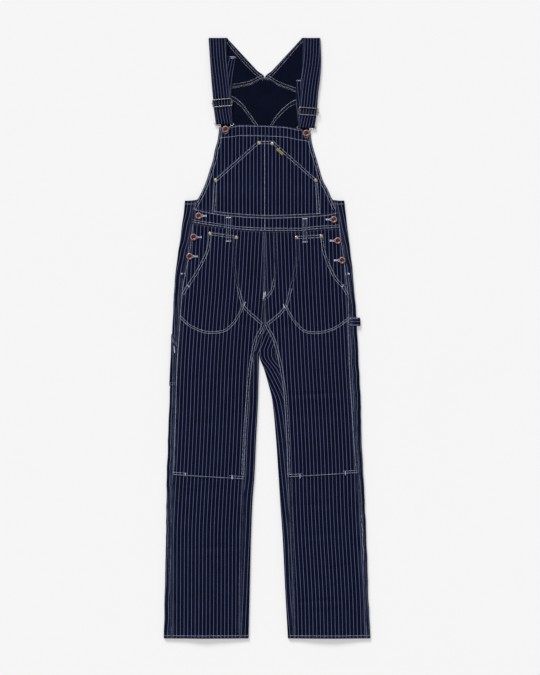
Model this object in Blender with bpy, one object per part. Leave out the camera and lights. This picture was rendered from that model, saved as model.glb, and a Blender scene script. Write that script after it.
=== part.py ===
"""Dungarees laid flat, front up: striped denim work overalls with a bib and shoulder straps.

X runs to the wearer's left, Y from the hems to the shoulders, Z up from the surface they lie on.
The tables are in millimetres; every mesh is made in metres.

The garment is a flattened tube. Its outer skin is one height field over X and Y, so every front
piece, and every patch that lies on one, is cut from that same field and moved out by its layers.
The back panels start on top at the outseam, turn under at the side fold, lie flat on the surface,
and come up again between the legs to meet the inseam.
"""

import math
from collections import namedtuple

import bmesh
import bpy

MM = 0.001

# Cloth and how its layers stack
CLOTH = 1.2
STRAP_CLOTH = 1.6
GAP = 0.3
LAP = CLOTH + GAP
HALF_GAP = GAP / 2

# The main lengths along the garment
HEM_Y = -765.0
KNEE_Y = -352.0
FORK_Y = -43.0
CROTCH_Y = 37.0
SIDE_OPENING_Y = 164.0
WING_TOP_Y = 350.0
SHOULDER_Y = 765.0
CENTRE_X = -6.0

# The turned side folds, and the crown of each leg over them
FOLD_RADIUS = 4.0
FOLD_HEIGHT = 2 * FOLD_RADIUS
LEG_CROWN = 6.0
HIP_Y = 115.0

# The side placket: how far the back's underlap reaches in under the front
UNDERLAP_WIDTH = 24.0
UNDERLAP_SHOWS = 2.0
LIFT_FULL = 42.0
LIFT_END = 155.0

# How far the patches on the front stand out from what they lie on
DOUBLE_FRONT = CLOTH + 0.45
BIB_POCKET_LAP = CLOTH + 0.4

# Belt loops, hammer loop and tool pocket
BELT_LOOP_WIDTH = 14.0
LOOP_CLOTH = 1.6
HAMMER_LOOP_Y = 41.5
HAMMER_LOOP_WIDTH = 22.0
HAMMER_LOOP_OUT = 9.0
HAMMER_LOOP_UNDER = 30.0
TOOL_POCKET_UNDER = 62.0
TOOL_POCKET_FOOT_Y = -122.0

# Hardware
BUTTON_RADIUS = 8.5
BUTTON_HEIGHT = 3.2
RIVET_RADIUS = 4.2
RIVET_HEIGHT = 1.8
WIRE_RADIUS = 1.1
HOOK_CLEARANCE = 0.9
CONTACT = 0.1
BUCKLE_WIRE = 1.3
BUCKLE_HALF_WIDTH = 24.2
BUCKLE_HALF_DEPTH = 9.0
BAR_RADIUS = 0.9

SideRow = namedtuple("SideRow", "y fold outseam inseam inner")
RIGHT_ROWS = [
    SideRow(-765, -263.5, -243, -66, -47),
    SideRow(-640, -261, -244, -64, -44),
    SideRow(-515, -258, -244, -61, -41),
    SideRow(-413, -257, -243, -59, -37),
    SideRow(-349, -256, -241, -57, -32),
    SideRow(-260, -253, -238, -53, -28),
    SideRow(-158, -249, -235, -46, -23),
    SideRow(-81, -246, -233, -39, -21),
    SideRow(-43, -244, -231, -33, -20),
    SideRow(-5, -243, -228, -24, -14),
    SideRow(37, -241, -225, -6, -6),
    SideRow(85, -239, -222, -6, -6),
    SideRow(123, -237, -218, -6, -6),
    SideRow(164, -234, -211, -6, -6),
    SideRow(225, -226, -199, -6, -6),
    SideRow(263, -221, -195, -6, -6),
    SideRow(296, -216, -191.5, -6, -6),
    SideRow(327, -212, -188.5, -6, -6),
    SideRow(352, -210, -180, -6, -6),
]
LEFT_ROWS = [
    SideRow(-765, 263.5, 253, 65, 53),
    SideRow(-640, 258, 247, 62, 46),
    SideRow(-515, 254, 241, 59, 40),
    SideRow(-413, 249, 235, 55, 33),
    SideRow(-349, 246, 231, 51, 29),
    SideRow(-260, 241, 224, 48, 23),
    SideRow(-158, 239, 218, 42, 13),
    SideRow(-120, 237, 215, 38, 4),
    SideRow(-81, 235, 213, 32, -7),
    SideRow(-43, 233, 212, 24, -19.6),
    SideRow(-5, 231, 211, 13, -14),
    SideRow(37, 229, 210, -6, -6),
    SideRow(85, 226, 210, -6, -6),
    SideRow(123, 222, 208, -6, -6),
    SideRow(164, 219, 203, -6, -6),
    SideRow(225, 212, 195, -6, -6),
    SideRow(263, 207, 190, -6, -6),
    SideRow(296, 203, 185.5, -6, -6),
    SideRow(327, 200, 177.5, -6, -6),
    SideRow(352, 198, 169, -6, -6),
]

# The front of the body over both legs: where its crown starts and ends, its edge height and crown
BodyRow = namedtuple("BodyRow", "y right left edge crown")
BODY_ROWS = [
    BodyRow(-43, -240, 229, 8.0, 5.0),
    BodyRow(37, -237, 225, 8.0, 7.0),
    BodyRow(123, -233, 218, 8.0, 9.0),
    BodyRow(225, -222, 208, 8.0, 9.0),
    BodyRow(296, -212, 199, 8.0, 8.5),
    BodyRow(352, -205, 192, 8.0, 7.5),
    BodyRow(403, -156, 144, 4.4, 6.0),
    BodyRow(454, -139, 128, 3.4, 5.0),
    BodyRow(543, -123, 110, 3.0, 4.4),
]

BibRow = namedtuple("BibRow", "y right left")
BIB_ROWS = [
    BibRow(300, -192, 184),
    BibRow(327, -189, 177),
    BibRow(341, -184, 171),
    BibRow(352, -177, 166),
    BibRow(378, -164, 155),
    BibRow(403, -154, 142),
    BibRow(429, -146, 134),
    BibRow(454, -138, 127),
    BibRow(480, -133, 119),
    BibRow(505, -126, 113),
    BibRow(545, -121, 109),
]

# Curves that run across the garment: the bib's top edge, and the waistband's two edges
AcrossRow = namedtuple("AcrossRow", "x y")
BIB_TOP = [
    AcrossRow(-122, 537),
    AcrossRow(-88, 540.5),
    AcrossRow(-70, 543),
    AcrossRow(-16, 542),
    AcrossRow(46, 539),
    AcrossRow(80, 532.5),
    AcrossRow(110, 528),
]
BAND_TOP = [
    AcrossRow(-190, 331),
    AcrossRow(-147, 321),
    AcrossRow(-89, 313),
    AcrossRow(4, 308),
    AcrossRow(77, 310),
    AcrossRow(150, 315),
    AcrossRow(181, 322),
]
BAND_FOOT = [
    AcrossRow(-192, 293),
    AcrossRow(-134, 284),
    AcrossRow(-61, 274),
    AcrossRow(4, 271),
    AcrossRow(83, 271),
    AcrossRow(118, 275),
    AcrossRow(188, 280),
]

# The double front's two edges above the crotch: the curved hand opening and the curve to the fly
OpeningRow = namedtuple("OpeningRow", "y right left")
POCKET_OPENING = [
    OpeningRow(112, -219, 209.5),
    OpeningRow(131, -209, 200),
    OpeningRow(154, -193, 179),
    OpeningRow(193, -171, 160),
    OpeningRow(229, -155, 148),
    OpeningRow(272, -149, 143),
]
FLY_CURVE = [
    OpeningRow(37, -6, -6),
    OpeningRow(54, -25, 16),
    OpeningRow(70, -43, 33),
    OpeningRow(88, -57, 45),
    OpeningRow(129, -68, 56),
    OpeningRow(159, -75, 64),
    OpeningRow(198, -79, 71),
    OpeningRow(262, -73, 71),
]
DOUBLE_FRONT_TOP = {"right": (272, 261), "left": (265, 261)}
KNEE_FOOT = {"right": (-350, -361), "left": (-345, -356)}

PocketRow = namedtuple("PocketRow", "y right left")
BIB_POCKET_ROWS = [
    PocketRow(300, -145, 138),
    PocketRow(317, -142, 136),
    PocketRow(351, -139, 134),
    PocketRow(403, -137, 130),
    PocketRow(503, -24, 17),
]

# The back above the side wings: its outer edge, and the yoke's two curved edges
BackEdgeRow = namedtuple("BackEdgeRow", "y right left")
BACK_EDGE = [
    BackEdgeRow(350, -206, 194),
    BackEdgeRow(352, -181, 169),
    BackEdgeRow(358, -174, 164),
    BackEdgeRow(380, -158, 148),
    BackEdgeRow(403, -148, 137),
    BackEdgeRow(454, -132, 121),
    BackEdgeRow(505, -119, 108),
    BackEdgeRow(545, -118, 108),
    BackEdgeRow(590, -126, 113),
    BackEdgeRow(633, -134, 118),
    BackEdgeRow(700, -141, 128),
    BackEdgeRow(765, -149, 135),
]
YOKE_TOP = [
    AcrossRow(-134, 636),
    AcrossRow(-93, 637),
    AcrossRow(-70, 640),
    AcrossRow(-44, 646),
    AcrossRow(-6, 661),
    AcrossRow(32, 643),
    AcrossRow(58, 633),
    AcrossRow(76, 627),
    AcrossRow(118, 622),
]
YOKE_FOOT = [
    AcrossRow(-134, 630),
    AcrossRow(-89, 618),
    AcrossRow(-66, 601),
    AcrossRow(-45, 574),
    AcrossRow(-24, 545),
    AcrossRow(-6, 523),
    AcrossRow(8, 543),
    AcrossRow(19, 562),
    AcrossRow(40, 586),
    AcrossRow(71, 608),
    AcrossRow(118, 616),
]

# The straps: both edges and the height of the outer face, from the shoulder to the hook and back
StrapRow = namedtuple("StrapRow", "y right left z")
STRAP_RUN = {
    "right": [
        StrapRow(761, -149, -103, 7.2),
        StrapRow(702, -145, -102, 7.2),
        StrapRow(659, -142, -99, 7.4),
        StrapRow(618, -138.5, -94, 7.6),
        StrapRow(580, -135, -91, 7.6),
        StrapRow(547, -131, -87, 8.0),
    ],
    "left": [
        StrapRow(761, 91, 136, 7.2),
        StrapRow(702, 90, 138, 7.2),
        StrapRow(659, 87, 135, 7.4),
        StrapRow(618, 85, 130, 7.6),
        StrapRow(577, 83, 127, 7.6),
        StrapRow(538, 79, 122, 8.0),
    ],
}
STRAP_TAIL = {
    "right": [
        StrapRow(547, -130, -88, 2.0),
        StrapRow(590, -132, -91, 2.0),
        StrapRow(633, -131, -90, 2.0),
        StrapRow(680, -127, -86, 2.0),
        StrapRow(719, -121, -80, 2.0),
    ],
    "left": [
        StrapRow(538, 80, 121, 2.0),
        StrapRow(577, 76, 117, 2.0),
        StrapRow(605, 74, 115, 2.0),
        StrapRow(632, 73, 113, 2.0),
        StrapRow(660, 76, 113, 2.0),
    ],
}
STRAP_FOLD_RADIUS = 3.6
STRAP_TURN_RADIUS = 3.0

# Places of the small pieces, from the wearer's right to left
Place = namedtuple("Place", "name x y")
SIDE_BUTTONS = [
    Place("side_button_right_1", -174, 311),
    Place("side_button_right_2", -187, 257),
    Place("side_button_right_3", -197, 208),
    Place("side_button_left_1", 170, 302),
    Place("side_button_left_2", 180, 248),
    Place("side_button_left_3", 191, 198),
]
RIVETS = [
    Place("rivet_bib_1", -131, 403),
    Place("rivet_bib_2", -20, 497),
    Place("rivet_bib_3", 13, 495),
    Place("rivet_bib_4", 124, 402),
    Place("rivet_pocket_1", -145, 266),
    Place("rivet_pocket_2", -78, 256),
    Place("rivet_pocket_3", 75, 256),
    Place("rivet_pocket_4", 138, 260),
]
BIB_BUTTONS = {"right": (-106, 532), "left": (100, 522)}
BUCKLES = {"right": (-114, 599, 5), "left": (105.5, 577, -4)}
BELT_LOOPS = {"right": (-98, 308, 245), "left": (96.5, 305, 243)}
TAB = (33, 474.5, -41)
TAB_SIZE = (22.0, 7.0, 1.2)

# Stations along the legs and body, and across each panel
LEG_STATIONS = (
    -765, -700, -620, -540, -460, -400, -352, -300, -250, -205, -165, -125, -81, -43,
)
FORK_STATIONS = (-20, 0, 20)
TONGUE_TOP = 31.0
BODY_STATIONS = (37, 60, 85, 110, 137, 164, 195, 225)
WING_STATIONS = (255, 285, 318, 350)
FRONT_COLUMNS = 8
UNDER_COLUMNS = 6
FOLD_STEPS = 4
BIB_STATIONS = (350, 376, 403, 430, 466, 500)

CLOTH_COLOUR = (0.012, 0.016, 0.045, 1.0)
STEEL_COLOUR = (0.62, 0.62, 0.60, 1.0)
COPPER_COLOUR = (0.48, 0.20, 0.13, 1.0)
BRASS_COLOUR = (0.75, 0.66, 0.36, 1.0)
TAB_COLOUR = (0.30, 0.25, 0.08, 1.0)


def smoothstep(low, high, value):
    """A share from 0 at low to 1 at high, level at both ends."""
    share = min(1.0, max(0.0, (value - low) / (high - low)))
    return share * share * (3 - 2 * share)


def mix(first, second, share):
    """The value a share of the way from first to second."""
    return first + (second - first) * share


def read(table, column, at, key="y"):
    """One column of a table at a value of its key column, on a smooth curve with no overshoot."""
    keys = [getattr(row, key) for row in table]
    values = [getattr(row, column) for row in table]
    if at <= keys[0]:
        return values[0]
    if at >= keys[-1]:
        return values[-1]
    slopes = [
        (values[i + 1] - values[i]) / (keys[i + 1] - keys[i]) for i in range(len(keys) - 1)
    ]

    def tangent(i):
        if i == 0 or i == len(slopes):
            return slopes[min(i, len(slopes) - 1)]
        before, after = slopes[i - 1], slopes[i]
        return 0.0 if before * after <= 0 else 2 * before * after / (before + after)

    i = max(k for k in range(len(slopes)) if keys[k] <= at)
    width = keys[i + 1] - keys[i]
    t = (at - keys[i]) / width
    return (
        values[i] * (1 + 2 * t) * (1 - t) ** 2
        + values[i + 1] * t * t * (3 - 2 * t)
        + width * (tangent(i) * t * (1 - t) ** 2 + tangent(i + 1) * t * t * (t - 1))
    )


class Side:
    """One side of the garment: its sections, and which way is outwards."""

    def __init__(self, name, rows, out):
        self.name = name
        self.rows = rows
        self.out = out

    def at(self, column, y):
        return read(self.rows, column, y)

    def pick(self, table, y, key="y"):
        """This side's column of a table that has one for each side."""
        return read(table, self.name, y, key)

    def back_edge(self, y):
        """Where the back panel ends on top: at the outseam, and a little clear of it in the placket."""
        clear = HALF_GAP + (UNDERLAP_SHOWS + HALF_GAP) * smoothstep(137, SIDE_OPENING_Y, y)
        return self.at("outseam", y) + self.out * clear

    def floor(self, x, y):
        """How far the underside is held up by what is sewn beneath it near the side fold."""
        if self.name == "right":
            there = smoothstep(-165, -125, y) - smoothstep(20, 60, y)
        else:
            there = smoothstep(-20, 20, y) - smoothstep(60, 110, y)
        return LAP * there * (1 - smoothstep(90, 120, abs(self.at("fold", y) - x)))


RIGHT = Side("right", RIGHT_ROWS, -1)
LEFT = Side("left", LEFT_ROWS, 1)


def crown(share):
    """The rise of the cloth between two folds: 0 at share -1 and 1, level there and in the middle."""
    return 0.5 * (1 + math.cos(math.pi * min(1.0, abs(share))))


def leg_height(side, x, y):
    """Height of the skin over one leg."""
    fold, inner = side.at("fold", y), side.at("inner", y)
    half = abs(fold - inner) / 2 - FOLD_RADIUS
    return FOLD_HEIGHT + LEG_CROWN * crown((x - (fold + inner) / 2) / half)


def body_height(x, y):
    """Height of the skin over the body and the bib."""
    right, left = read(BODY_ROWS, "right", y), read(BODY_ROWS, "left", y)
    share = (x - (right + left) / 2) / ((left - right) / 2)
    return read(BODY_ROWS, "edge", y) + read(BODY_ROWS, "crown", y) * crown(share)


def skin(side, x, y):
    """Height of the outer face of a single layer that lies on top."""
    if y <= FORK_Y:
        return leg_height(side, x, y)
    body = body_height(x, y)
    if y >= HIP_Y:
        return body
    return mix(leg_height(side, x, y), body, smoothstep(FORK_Y, HIP_Y, y))


def front_height(side, x, y):
    """The skin, lifted by one layer where the front laps over the back's side placket."""
    edge = side.pick(BIB_ROWS, y) if y > WING_TOP_Y else side.at("outseam", y)
    there = smoothstep(115, SIDE_OPENING_Y, y) - smoothstep(WING_TOP_Y, 385, y)
    near = 1 - smoothstep(LIFT_FULL, LIFT_END, abs(edge - x))
    return skin(side, x, y) + LAP * there * near


def side_of(x):
    """The side that a place in X is on."""
    return RIGHT if x < CENTRE_X else LEFT


def top_height(x, y):
    """Height of the front at any place."""
    return front_height(side_of(x), x, y)


def new_object(name, data, material):
    """Links a mesh or a curve to the scene under its node's name."""
    thing = bpy.data.objects.new(name, data)
    thing.data.materials.append(material)
    bpy.context.scene.collection.objects.link(thing)
    return thing


def material_of(name, colour, roughness, metallic=0.0):
    """A plain material, which names one of the record's slots."""
    made = bpy.data.materials.new(name)
    made.use_nodes = True
    shader = made.node_tree.nodes["Principled BSDF"]
    shader.inputs["Base Color"].default_value = colour
    shader.inputs["Roughness"].default_value = roughness
    shader.inputs["Metallic"].default_value = metallic
    return made


def cloth(name, rows, material, thickness=CLOTH, absent=(), flip=False):
    """A wall of cloth from rows of points on its outer face, with Solidify for its thickness.

    absent lists the cells (row, column) that are left out of the grid. flip turns the face round.
    """
    form = bmesh.new()
    made = {}

    def vertex(i, j):
        if (i, j) not in made:
            made[i, j] = form.verts.new([value * MM for value in rows[i][j]])
        return made[i, j]

    for i in range(len(rows) - 1):
        for j in range(len(rows[i]) - 1):
            if (i, j) in absent:
                continue
            corners = [vertex(i, j), vertex(i, j + 1), vertex(i + 1, j + 1), vertex(i + 1, j)]
            form.faces.new(reversed(corners) if flip else corners)
    mesh = bpy.data.meshes.new(name)
    form.to_mesh(mesh)
    form.free()
    mesh.shade_smooth()
    thing = new_object(name, mesh, material)
    wall = thing.modifiers.new("thickness", "SOLIDIFY")
    wall.thickness = thickness * MM
    wall.offset = -1.0
    return thing


def turned(name, profile, x, y, z, material, sides=18):
    """A solid of revolution about Z from (radius, height) pairs, from its foot's centre to its top's."""
    form = bmesh.new()
    rings = []
    for radius, height in profile:
        count = 1 if radius == 0 else sides
        ring = []
        for k in range(count):
            angle = 2 * math.pi * k / sides
            ring.append(
                form.verts.new(
                    (radius * math.cos(angle) * MM, radius * math.sin(angle) * MM, height * MM)
                )
            )
        rings.append(ring)
    for low, high in zip(rings, rings[1:]):
        for k in range(sides):
            corners = [low[k % len(low)], low[(k + 1) % len(low)]]
            corners += [high[(k + 1) % len(high)], high[k % len(high)]]
            form.faces.new(list(dict.fromkeys(corners)))
    bmesh.ops.recalc_face_normals(form, faces=form.faces)
    mesh = bpy.data.meshes.new(name)
    form.to_mesh(mesh)
    form.free()
    mesh.shade_smooth()
    thing = new_object(name, mesh, material)
    thing.location = (x * MM, y * MM, z * MM)
    return thing


def wire(name, points, radius, material, closed, origin=(0, 0, 0), turn=0.0):
    """A round wire along points, on a curve with a bevel."""
    curve = bpy.data.curves.new(name, "CURVE")
    curve.dimensions = "3D"
    curve.bevel_depth = radius * MM
    curve.bevel_resolution = 2
    curve.use_fill_caps = not closed
    spline = curve.splines.new("POLY")
    spline.points.add(len(points) - 1)
    for node, point in zip(spline.points, points):
        node.co = [value * MM for value in point] + [1.0]
    spline.use_cyclic_u = closed
    thing = new_object(name, curve, material)
    thing.location = [value * MM for value in origin]
    thing.rotation_euler = (0, 0, math.radians(turn))
    return thing


def fold_arc(x, low, high, out):
    """Points of a half-round fold from the top tangent round to the one beneath."""
    centre, radius = (high + low) / 2, (high - low) / 2
    return [
        (
            x + out * radius * math.sin(math.pi * k / FOLD_STEPS),
            centre + radius * math.cos(math.pi * k / FOLD_STEPS),
        )
        for k in range(FOLD_STEPS + 1)
    ]


def spread(start, end, count):
    """count + 1 values from start to end."""
    return [mix(start, end, k / count) for k in range(count + 1)]


def outer_fold(side, y):
    """The side fold at a station, as (x, z) points from its top tangent to the one beneath."""
    fold = side.at("fold", y)
    low = side.floor(fold, y)
    radius = (FOLD_HEIGHT - low) / 2
    return fold_arc(fold - side.out * radius, low, FOLD_HEIGHT, side.out)


def band_points(side, table):
    """Points along an edge of the waistband, from this side's end to the centre front."""
    edge = side.at("outseam", table[0 if side is RIGHT else -1].y)
    points = []
    for x in spread(edge, CENTRE_X + side.out * HALF_GAP, FRONT_COLUMNS):
        points.append((x, read(table, "y", x, key="x")))
    return points


def whole_band(table):
    """Points along an edge of the waistband, from one side's end to the other's."""
    return band_points(RIGHT, table) + band_points(LEFT, table)[::-1]


def yoke_columns(side):
    """The places across the back where the yoke is joined, from the side's edge to the middle."""
    return spread(side.pick(BACK_EDGE, 630), CENTRE_X + side.out * HALF_GAP, UNDER_COLUMNS)


def trouser_front(side, material):
    """One front of the trousers, from the hem to the waistband."""
    stations = LEG_STATIONS + FORK_STATIONS + BODY_STATIONS
    rows = []
    for y in stations:
        start = side.at("outseam", y) - side.out * HALF_GAP
        end = side.at("inseam", y) + side.out * HALF_GAP
        rows.append([(x, y, front_height(side, x, y)) for x in spread(start, end, FRONT_COLUMNS)])
    last = rows[-1]
    for share in (0.5, 1.0):
        row = []
        for (low_x, low_y, _), (top_x, top_y) in zip(last, band_points(side, BAND_FOOT)):
            x, y = mix(low_x, top_x, share), mix(low_y, top_y - GAP, share)
            row.append((x, y, front_height(side, x, y)))
        rows.append(row)
    return cloth(f"trouser_front_{side.name}", rows, material, flip=side is LEFT)


def trouser_back(side, material):
    """One back panel: over the side fold, flat beneath, up between the legs, and on to the yoke."""
    over, under, tongue = 2, UNDER_COLUMNS, 3
    turn_out = over
    flat = turn_out + FOLD_STEPS
    turn_in = flat + under
    rise = turn_in + FOLD_STEPS
    rows, absent = [], set()

    def top_points(y):
        """From the edge on top over the side fold to the tangent beneath it."""
        turn = outer_fold(side, y)
        edge = side.back_edge(y)
        row = [(x, y, skin(side, x, y)) for x in spread(edge, turn[0][0], over)]
        row += [(x, y, z) for x, z in turn[1:]]
        return row

    for y in LEG_STATIONS:
        row = top_points(y)
        inner = side.at("inner", y)
        stop = inner + side.out * FOLD_RADIUS
        row += [(x, y, side.floor(x, y)) for x in spread(row[-1][0], stop, under)[1:]]
        row += [(x, y, z) for x, z in fold_arc(stop, 0.0, FOLD_HEIGHT, -side.out)[::-1][1:]]
        end = side.at("inseam", y) - side.out * HALF_GAP
        row += [(x, y, skin(side, x, y)) for x in spread(stop, end, tongue)[1:]]
        rows.append(row)
    fork_row = len(rows) - 1
    fork_tops = FORK_STATIONS + (TONGUE_TOP,)
    for y in fork_tops:
        row = top_points(y)
        seam = side.at("inner", y) + side.out * HALF_GAP
        row += [(x, y, side.floor(x, y)) for x in spread(row[-1][0], seam, under)[1:]]
        row += [(seam, y, 0.0)] * (FOLD_STEPS - 1)
        end = side.at("inseam", y) - side.out * HALF_GAP
        row += [(x, y, skin(side, x, y)) for x in spread(seam, end, tongue)]
        rows.append(row)
    columns = len(rows[0])
    for i in range(fork_row, fork_row + len(fork_tops)):
        absent |= {(i, j) for j in range(turn_in, rise)}
    body_start = len(rows) - 1
    seam = CENTRE_X + side.out * HALF_GAP
    for y in BODY_STATIONS + WING_STATIONS:
        row = top_points(y)
        row += [(x, y, side.floor(x, y)) for x in spread(row[-1][0], seam, under)[1:]]
        rows.append(row + [row[-1]] * (columns - len(row)))
    wing_row = len(rows) - 1
    for share in (0.008, 0.04, 0.11, 0.22, 0.37, 0.54, 0.70, 0.85, 1.0):
        row = [rows[wing_row][flat]] * flat
        for part, tip in zip(spread(0.0, 1.0, under), yoke_columns(side)):
            y = mix(WING_TOP_Y, read(YOKE_FOOT, "y", tip, key="x") - GAP, share)
            x = mix(side.pick(BACK_EDGE, y), seam, part)
            row.append((mix(x, tip, smoothstep(0.8, 1.0, share)), y, 0.0))
        rows.append(row + [row[-1]] * (columns - len(row)))
    for i in range(body_start, len(rows) - 1):
        absent |= {(i, j) for j in range(turn_in, columns - 1)}
    for i in range(wing_row, len(rows) - 1):
        absent |= {(i, j) for j in range(flat)}
    return cloth(f"trouser_back_{side.name}", rows, material, absent=absent, flip=side is RIGHT)


def underlap(side, material):
    """The strip sewn to the back at the side opening, which the buttons are fixed to."""
    rows = []
    for y in (SIDE_OPENING_Y + 4,) + BODY_STATIONS[-2:] + WING_STATIONS:
        start = side.back_edge(y) - side.out * GAP
        end = side.at("outseam", y) - side.out * UNDERLAP_WIDTH
        rows.append([(x, y, skin(side, x, y)) for x in spread(start, end, 2)])
    return cloth(f"side_underlap_{side.name}", rows, material, flip=side is LEFT)


def double_front(side, material):
    """The patch from the hand pocket to the knee, lying on the trouser front."""
    low_out, low_in = KNEE_FOOT[side.name]
    top_out, top_in = DOUBLE_FRONT_TOP[side.name]
    rows = []

    def edges(y):
        start = side.at("outseam", y) - side.out * HALF_GAP
        end = side.at("inseam", y) + side.out * HALF_GAP
        if y > POCKET_OPENING[0].y:
            start = side.pick(POCKET_OPENING, y)
        if y > CROTCH_Y:
            end = side.pick(FLY_CURVE, y)
        return start, end

    stations = [y for y in LEG_STATIONS + FORK_STATIONS + BODY_STATIONS if y > KNEE_Y]
    for part_row in [None] + stations + [None]:
        row = []
        for k in range(FRONT_COLUMNS + 1):
            share = k / FRONT_COLUMNS
            if part_row is not None:
                y = part_row
            elif not rows:
                y = mix(low_out, low_in, share)
            else:
                y = mix(top_out, top_in, share)
            x = mix(*edges(y), share)
            row.append((x, y, front_height(side, x, y) + DOUBLE_FRONT))
        rows.append(row)
    return cloth(f"double_front_{side.name}", rows, material, flip=side is LEFT)


def waistband(material):
    """The doubled band round the front of the waist."""
    rows = []
    for share in spread(0.0, 1.0, 2):
        row = []
        for (low_x, low_y), (top_x, top_y) in zip(whole_band(BAND_FOOT), whole_band(BAND_TOP)):
            x, y = mix(low_x, top_x, share), mix(low_y, top_y, share)
            row.append((x, y, top_height(x, y) + CLOTH))
        rows.append(row)
    return cloth("waistband", rows, material, thickness=2 * CLOTH)


def bib(material):
    """The bib, from the waistband to its top hem."""
    rows = [[(x, y + GAP, top_height(x, y + GAP)) for x, y in whole_band(BAND_TOP)]]
    columns = len(rows[0]) - 1
    for y in BIB_STATIONS:
        ends = read(BIB_ROWS, "right", y), read(BIB_ROWS, "left", y)
        rows.append([(x, y, top_height(x, y)) for x in spread(*ends, columns)])
    last = []
    for across in spread(BIB_TOP[0].x, BIB_TOP[-1].x, columns):
        y = read(BIB_TOP, "y", across, key="x")
        last.append((across, y, top_height(across, y)))
    return cloth("bib", rows + [last], material)


def bib_pocket(material):
    """The bib's pocket, with its two slanting sides."""
    foot = []
    for x in spread(BIB_POCKET_ROWS[0].right, BIB_POCKET_ROWS[0].left, 16):
        y = read(BAND_TOP, "y", x, key="x") + 3 * GAP
        foot.append((x, y, top_height(x, y) + BIB_POCKET_LAP))
    rows = [foot]
    for y in BIB_STATIONS[:-1] + (BIB_POCKET_ROWS[-1].y,):
        ends = straight(BIB_POCKET_ROWS, "right", y), straight(BIB_POCKET_ROWS, "left", y)
        rows.append([(x, y, top_height(x, y) + BIB_POCKET_LAP) for x in spread(*ends, 16)])
    return cloth("bib_pocket", rows, material)


def straight(table, column, y):
    """One column of a table at y, on straight lines between its rows."""
    for low, high in zip(table, table[1:]):
        if y <= high.y:
            share = max(0.0, (y - low.y) / (high.y - low.y))
            return mix(getattr(low, column), getattr(high, column), share)
    return getattr(table[-1], column)


def back_yoke(material):
    """The shield at the middle of the back, between the straps above and the backs below."""
    rows = []
    xs = yoke_columns(RIGHT) + yoke_columns(LEFT)[::-1]
    for share in (0.0, 1 / 3, 2 / 3, 1.0):
        rows.append(
            [
                (x, mix(read(YOKE_FOOT, "y", x, key="x"), read(YOKE_TOP, "y", x, key="x"), share), 0.0)
                for x in xs
            ]
        )
    return cloth("back_yoke", rows, material, flip=True)


def strap(side, material):
    """The shoulder piece and its strap: up the back, over the fold, down through the hook and up."""
    columns = UNDER_COLUMNS
    run, tail = STRAP_RUN[side.name], STRAP_TAIL[side.name]
    fold_y = SHOULDER_Y - STRAP_FOLD_RADIUS
    inner_at_fold = -99 if side is RIGHT else 86
    rows = []
    for share in (0.0, 0.2, 0.4, 0.6, 0.8, 1.0):
        row = []
        for part, foot_x in zip(spread(0.0, 1.0, columns), yoke_columns(side)):
            y = mix(read(YOKE_TOP, "y", foot_x, key="x") + GAP, fold_y, share)
            inner = mix(CENTRE_X + side.out * HALF_GAP, inner_at_fold, share)
            x = mix(side.pick(BACK_EDGE, y), inner, part)
            row.append((mix(foot_x, x, smoothstep(0.0, 0.2, share)), y, 0.0))
        rows.append(row)

    def turn(y, radius, height, start, end, ahead):
        """A half turn of the strap, from the lower or upper face, ahead being +1 up the garment."""
        for k in range(1, FOLD_STEPS):
            angle = math.pi * k / FOLD_STEPS
            share = k / FOLD_STEPS
            first, last = mix(start[0], end[0], share), mix(start[1], end[1], share)
            at_y = y + ahead * radius * math.sin(angle)
            at_z = height - ahead * radius * math.cos(angle)
            rows.append([(x, at_y, at_z) for x in spread(first, last, columns)])

    def edges(row):
        return (row.right, row.left) if side is RIGHT else (row.left, row.right)

    def run_over(table):
        for row in table:
            first, last = edges(row)
            rows.append([(x, row.y, row.z) for x in spread(first, last, columns)])

    back_edges = (rows[-1][0][0], rows[-1][-1][0])
    turn(fold_y, STRAP_FOLD_RADIUS, STRAP_FOLD_RADIUS, back_edges, edges(run[0]), 1)
    run_over(run)
    middle = (run[-1].z + tail[0].z) / 2
    turn(run[-1].y, STRAP_TURN_RADIUS, middle, edges(run[-1]), edges(tail[0]), -1)
    run_over(tail)
    return cloth(
        f"strap_{side.name}", rows, material, thickness=STRAP_CLOTH, flip=side is RIGHT
    )


def bib_hook(side, material):
    """The wire hook: a bar in the strap's turn, and a pear-shaped loop round the button's shank."""
    x, y = BIB_BUTTONS[side.name]
    run = STRAP_RUN[side.name][-1]
    middle = (run.right + run.left) / 2 - x
    bar_y = run.y - y
    bar_z = (run.z + STRAP_TAIL[side.name][0].z) / 2
    loop_z = front_height(side, x, y) + HOOK_CLEARANCE + WIRE_RADIUS
    right = [
        (middle + 14, bar_y, bar_z),
        (middle + 23.2, bar_y, bar_z),
        (middle + 24.4, bar_y - 1.8, bar_z),
        (middle + 23.2, bar_y - 4.2, bar_z + 0.8),
        (13, bar_y - 6.5, loop_z),
        (9.5, 3, loop_z),
        (7.5, -3, loop_z),
        (4.5, -9, loop_z),
        (0, -12, loop_z),
    ]
    left = [
        (-4.5, -9, loop_z),
        (-7.5, -3, loop_z),
        (-9.5, 3, loop_z),
        (-13, bar_y - 6.5, loop_z),
        (middle - 23.2, bar_y - 4.2, bar_z + 0.8),
        (middle - 24.4, bar_y - 1.8, bar_z),
        (middle - 23.2, bar_y, bar_z),
        (middle - 14, bar_y, bar_z),
        (middle, bar_y, bar_z),
    ]
    return wire(f"bib_hook_{side.name}", right + left, WIRE_RADIUS, material, True, origin=(x, y, 0))


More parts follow.
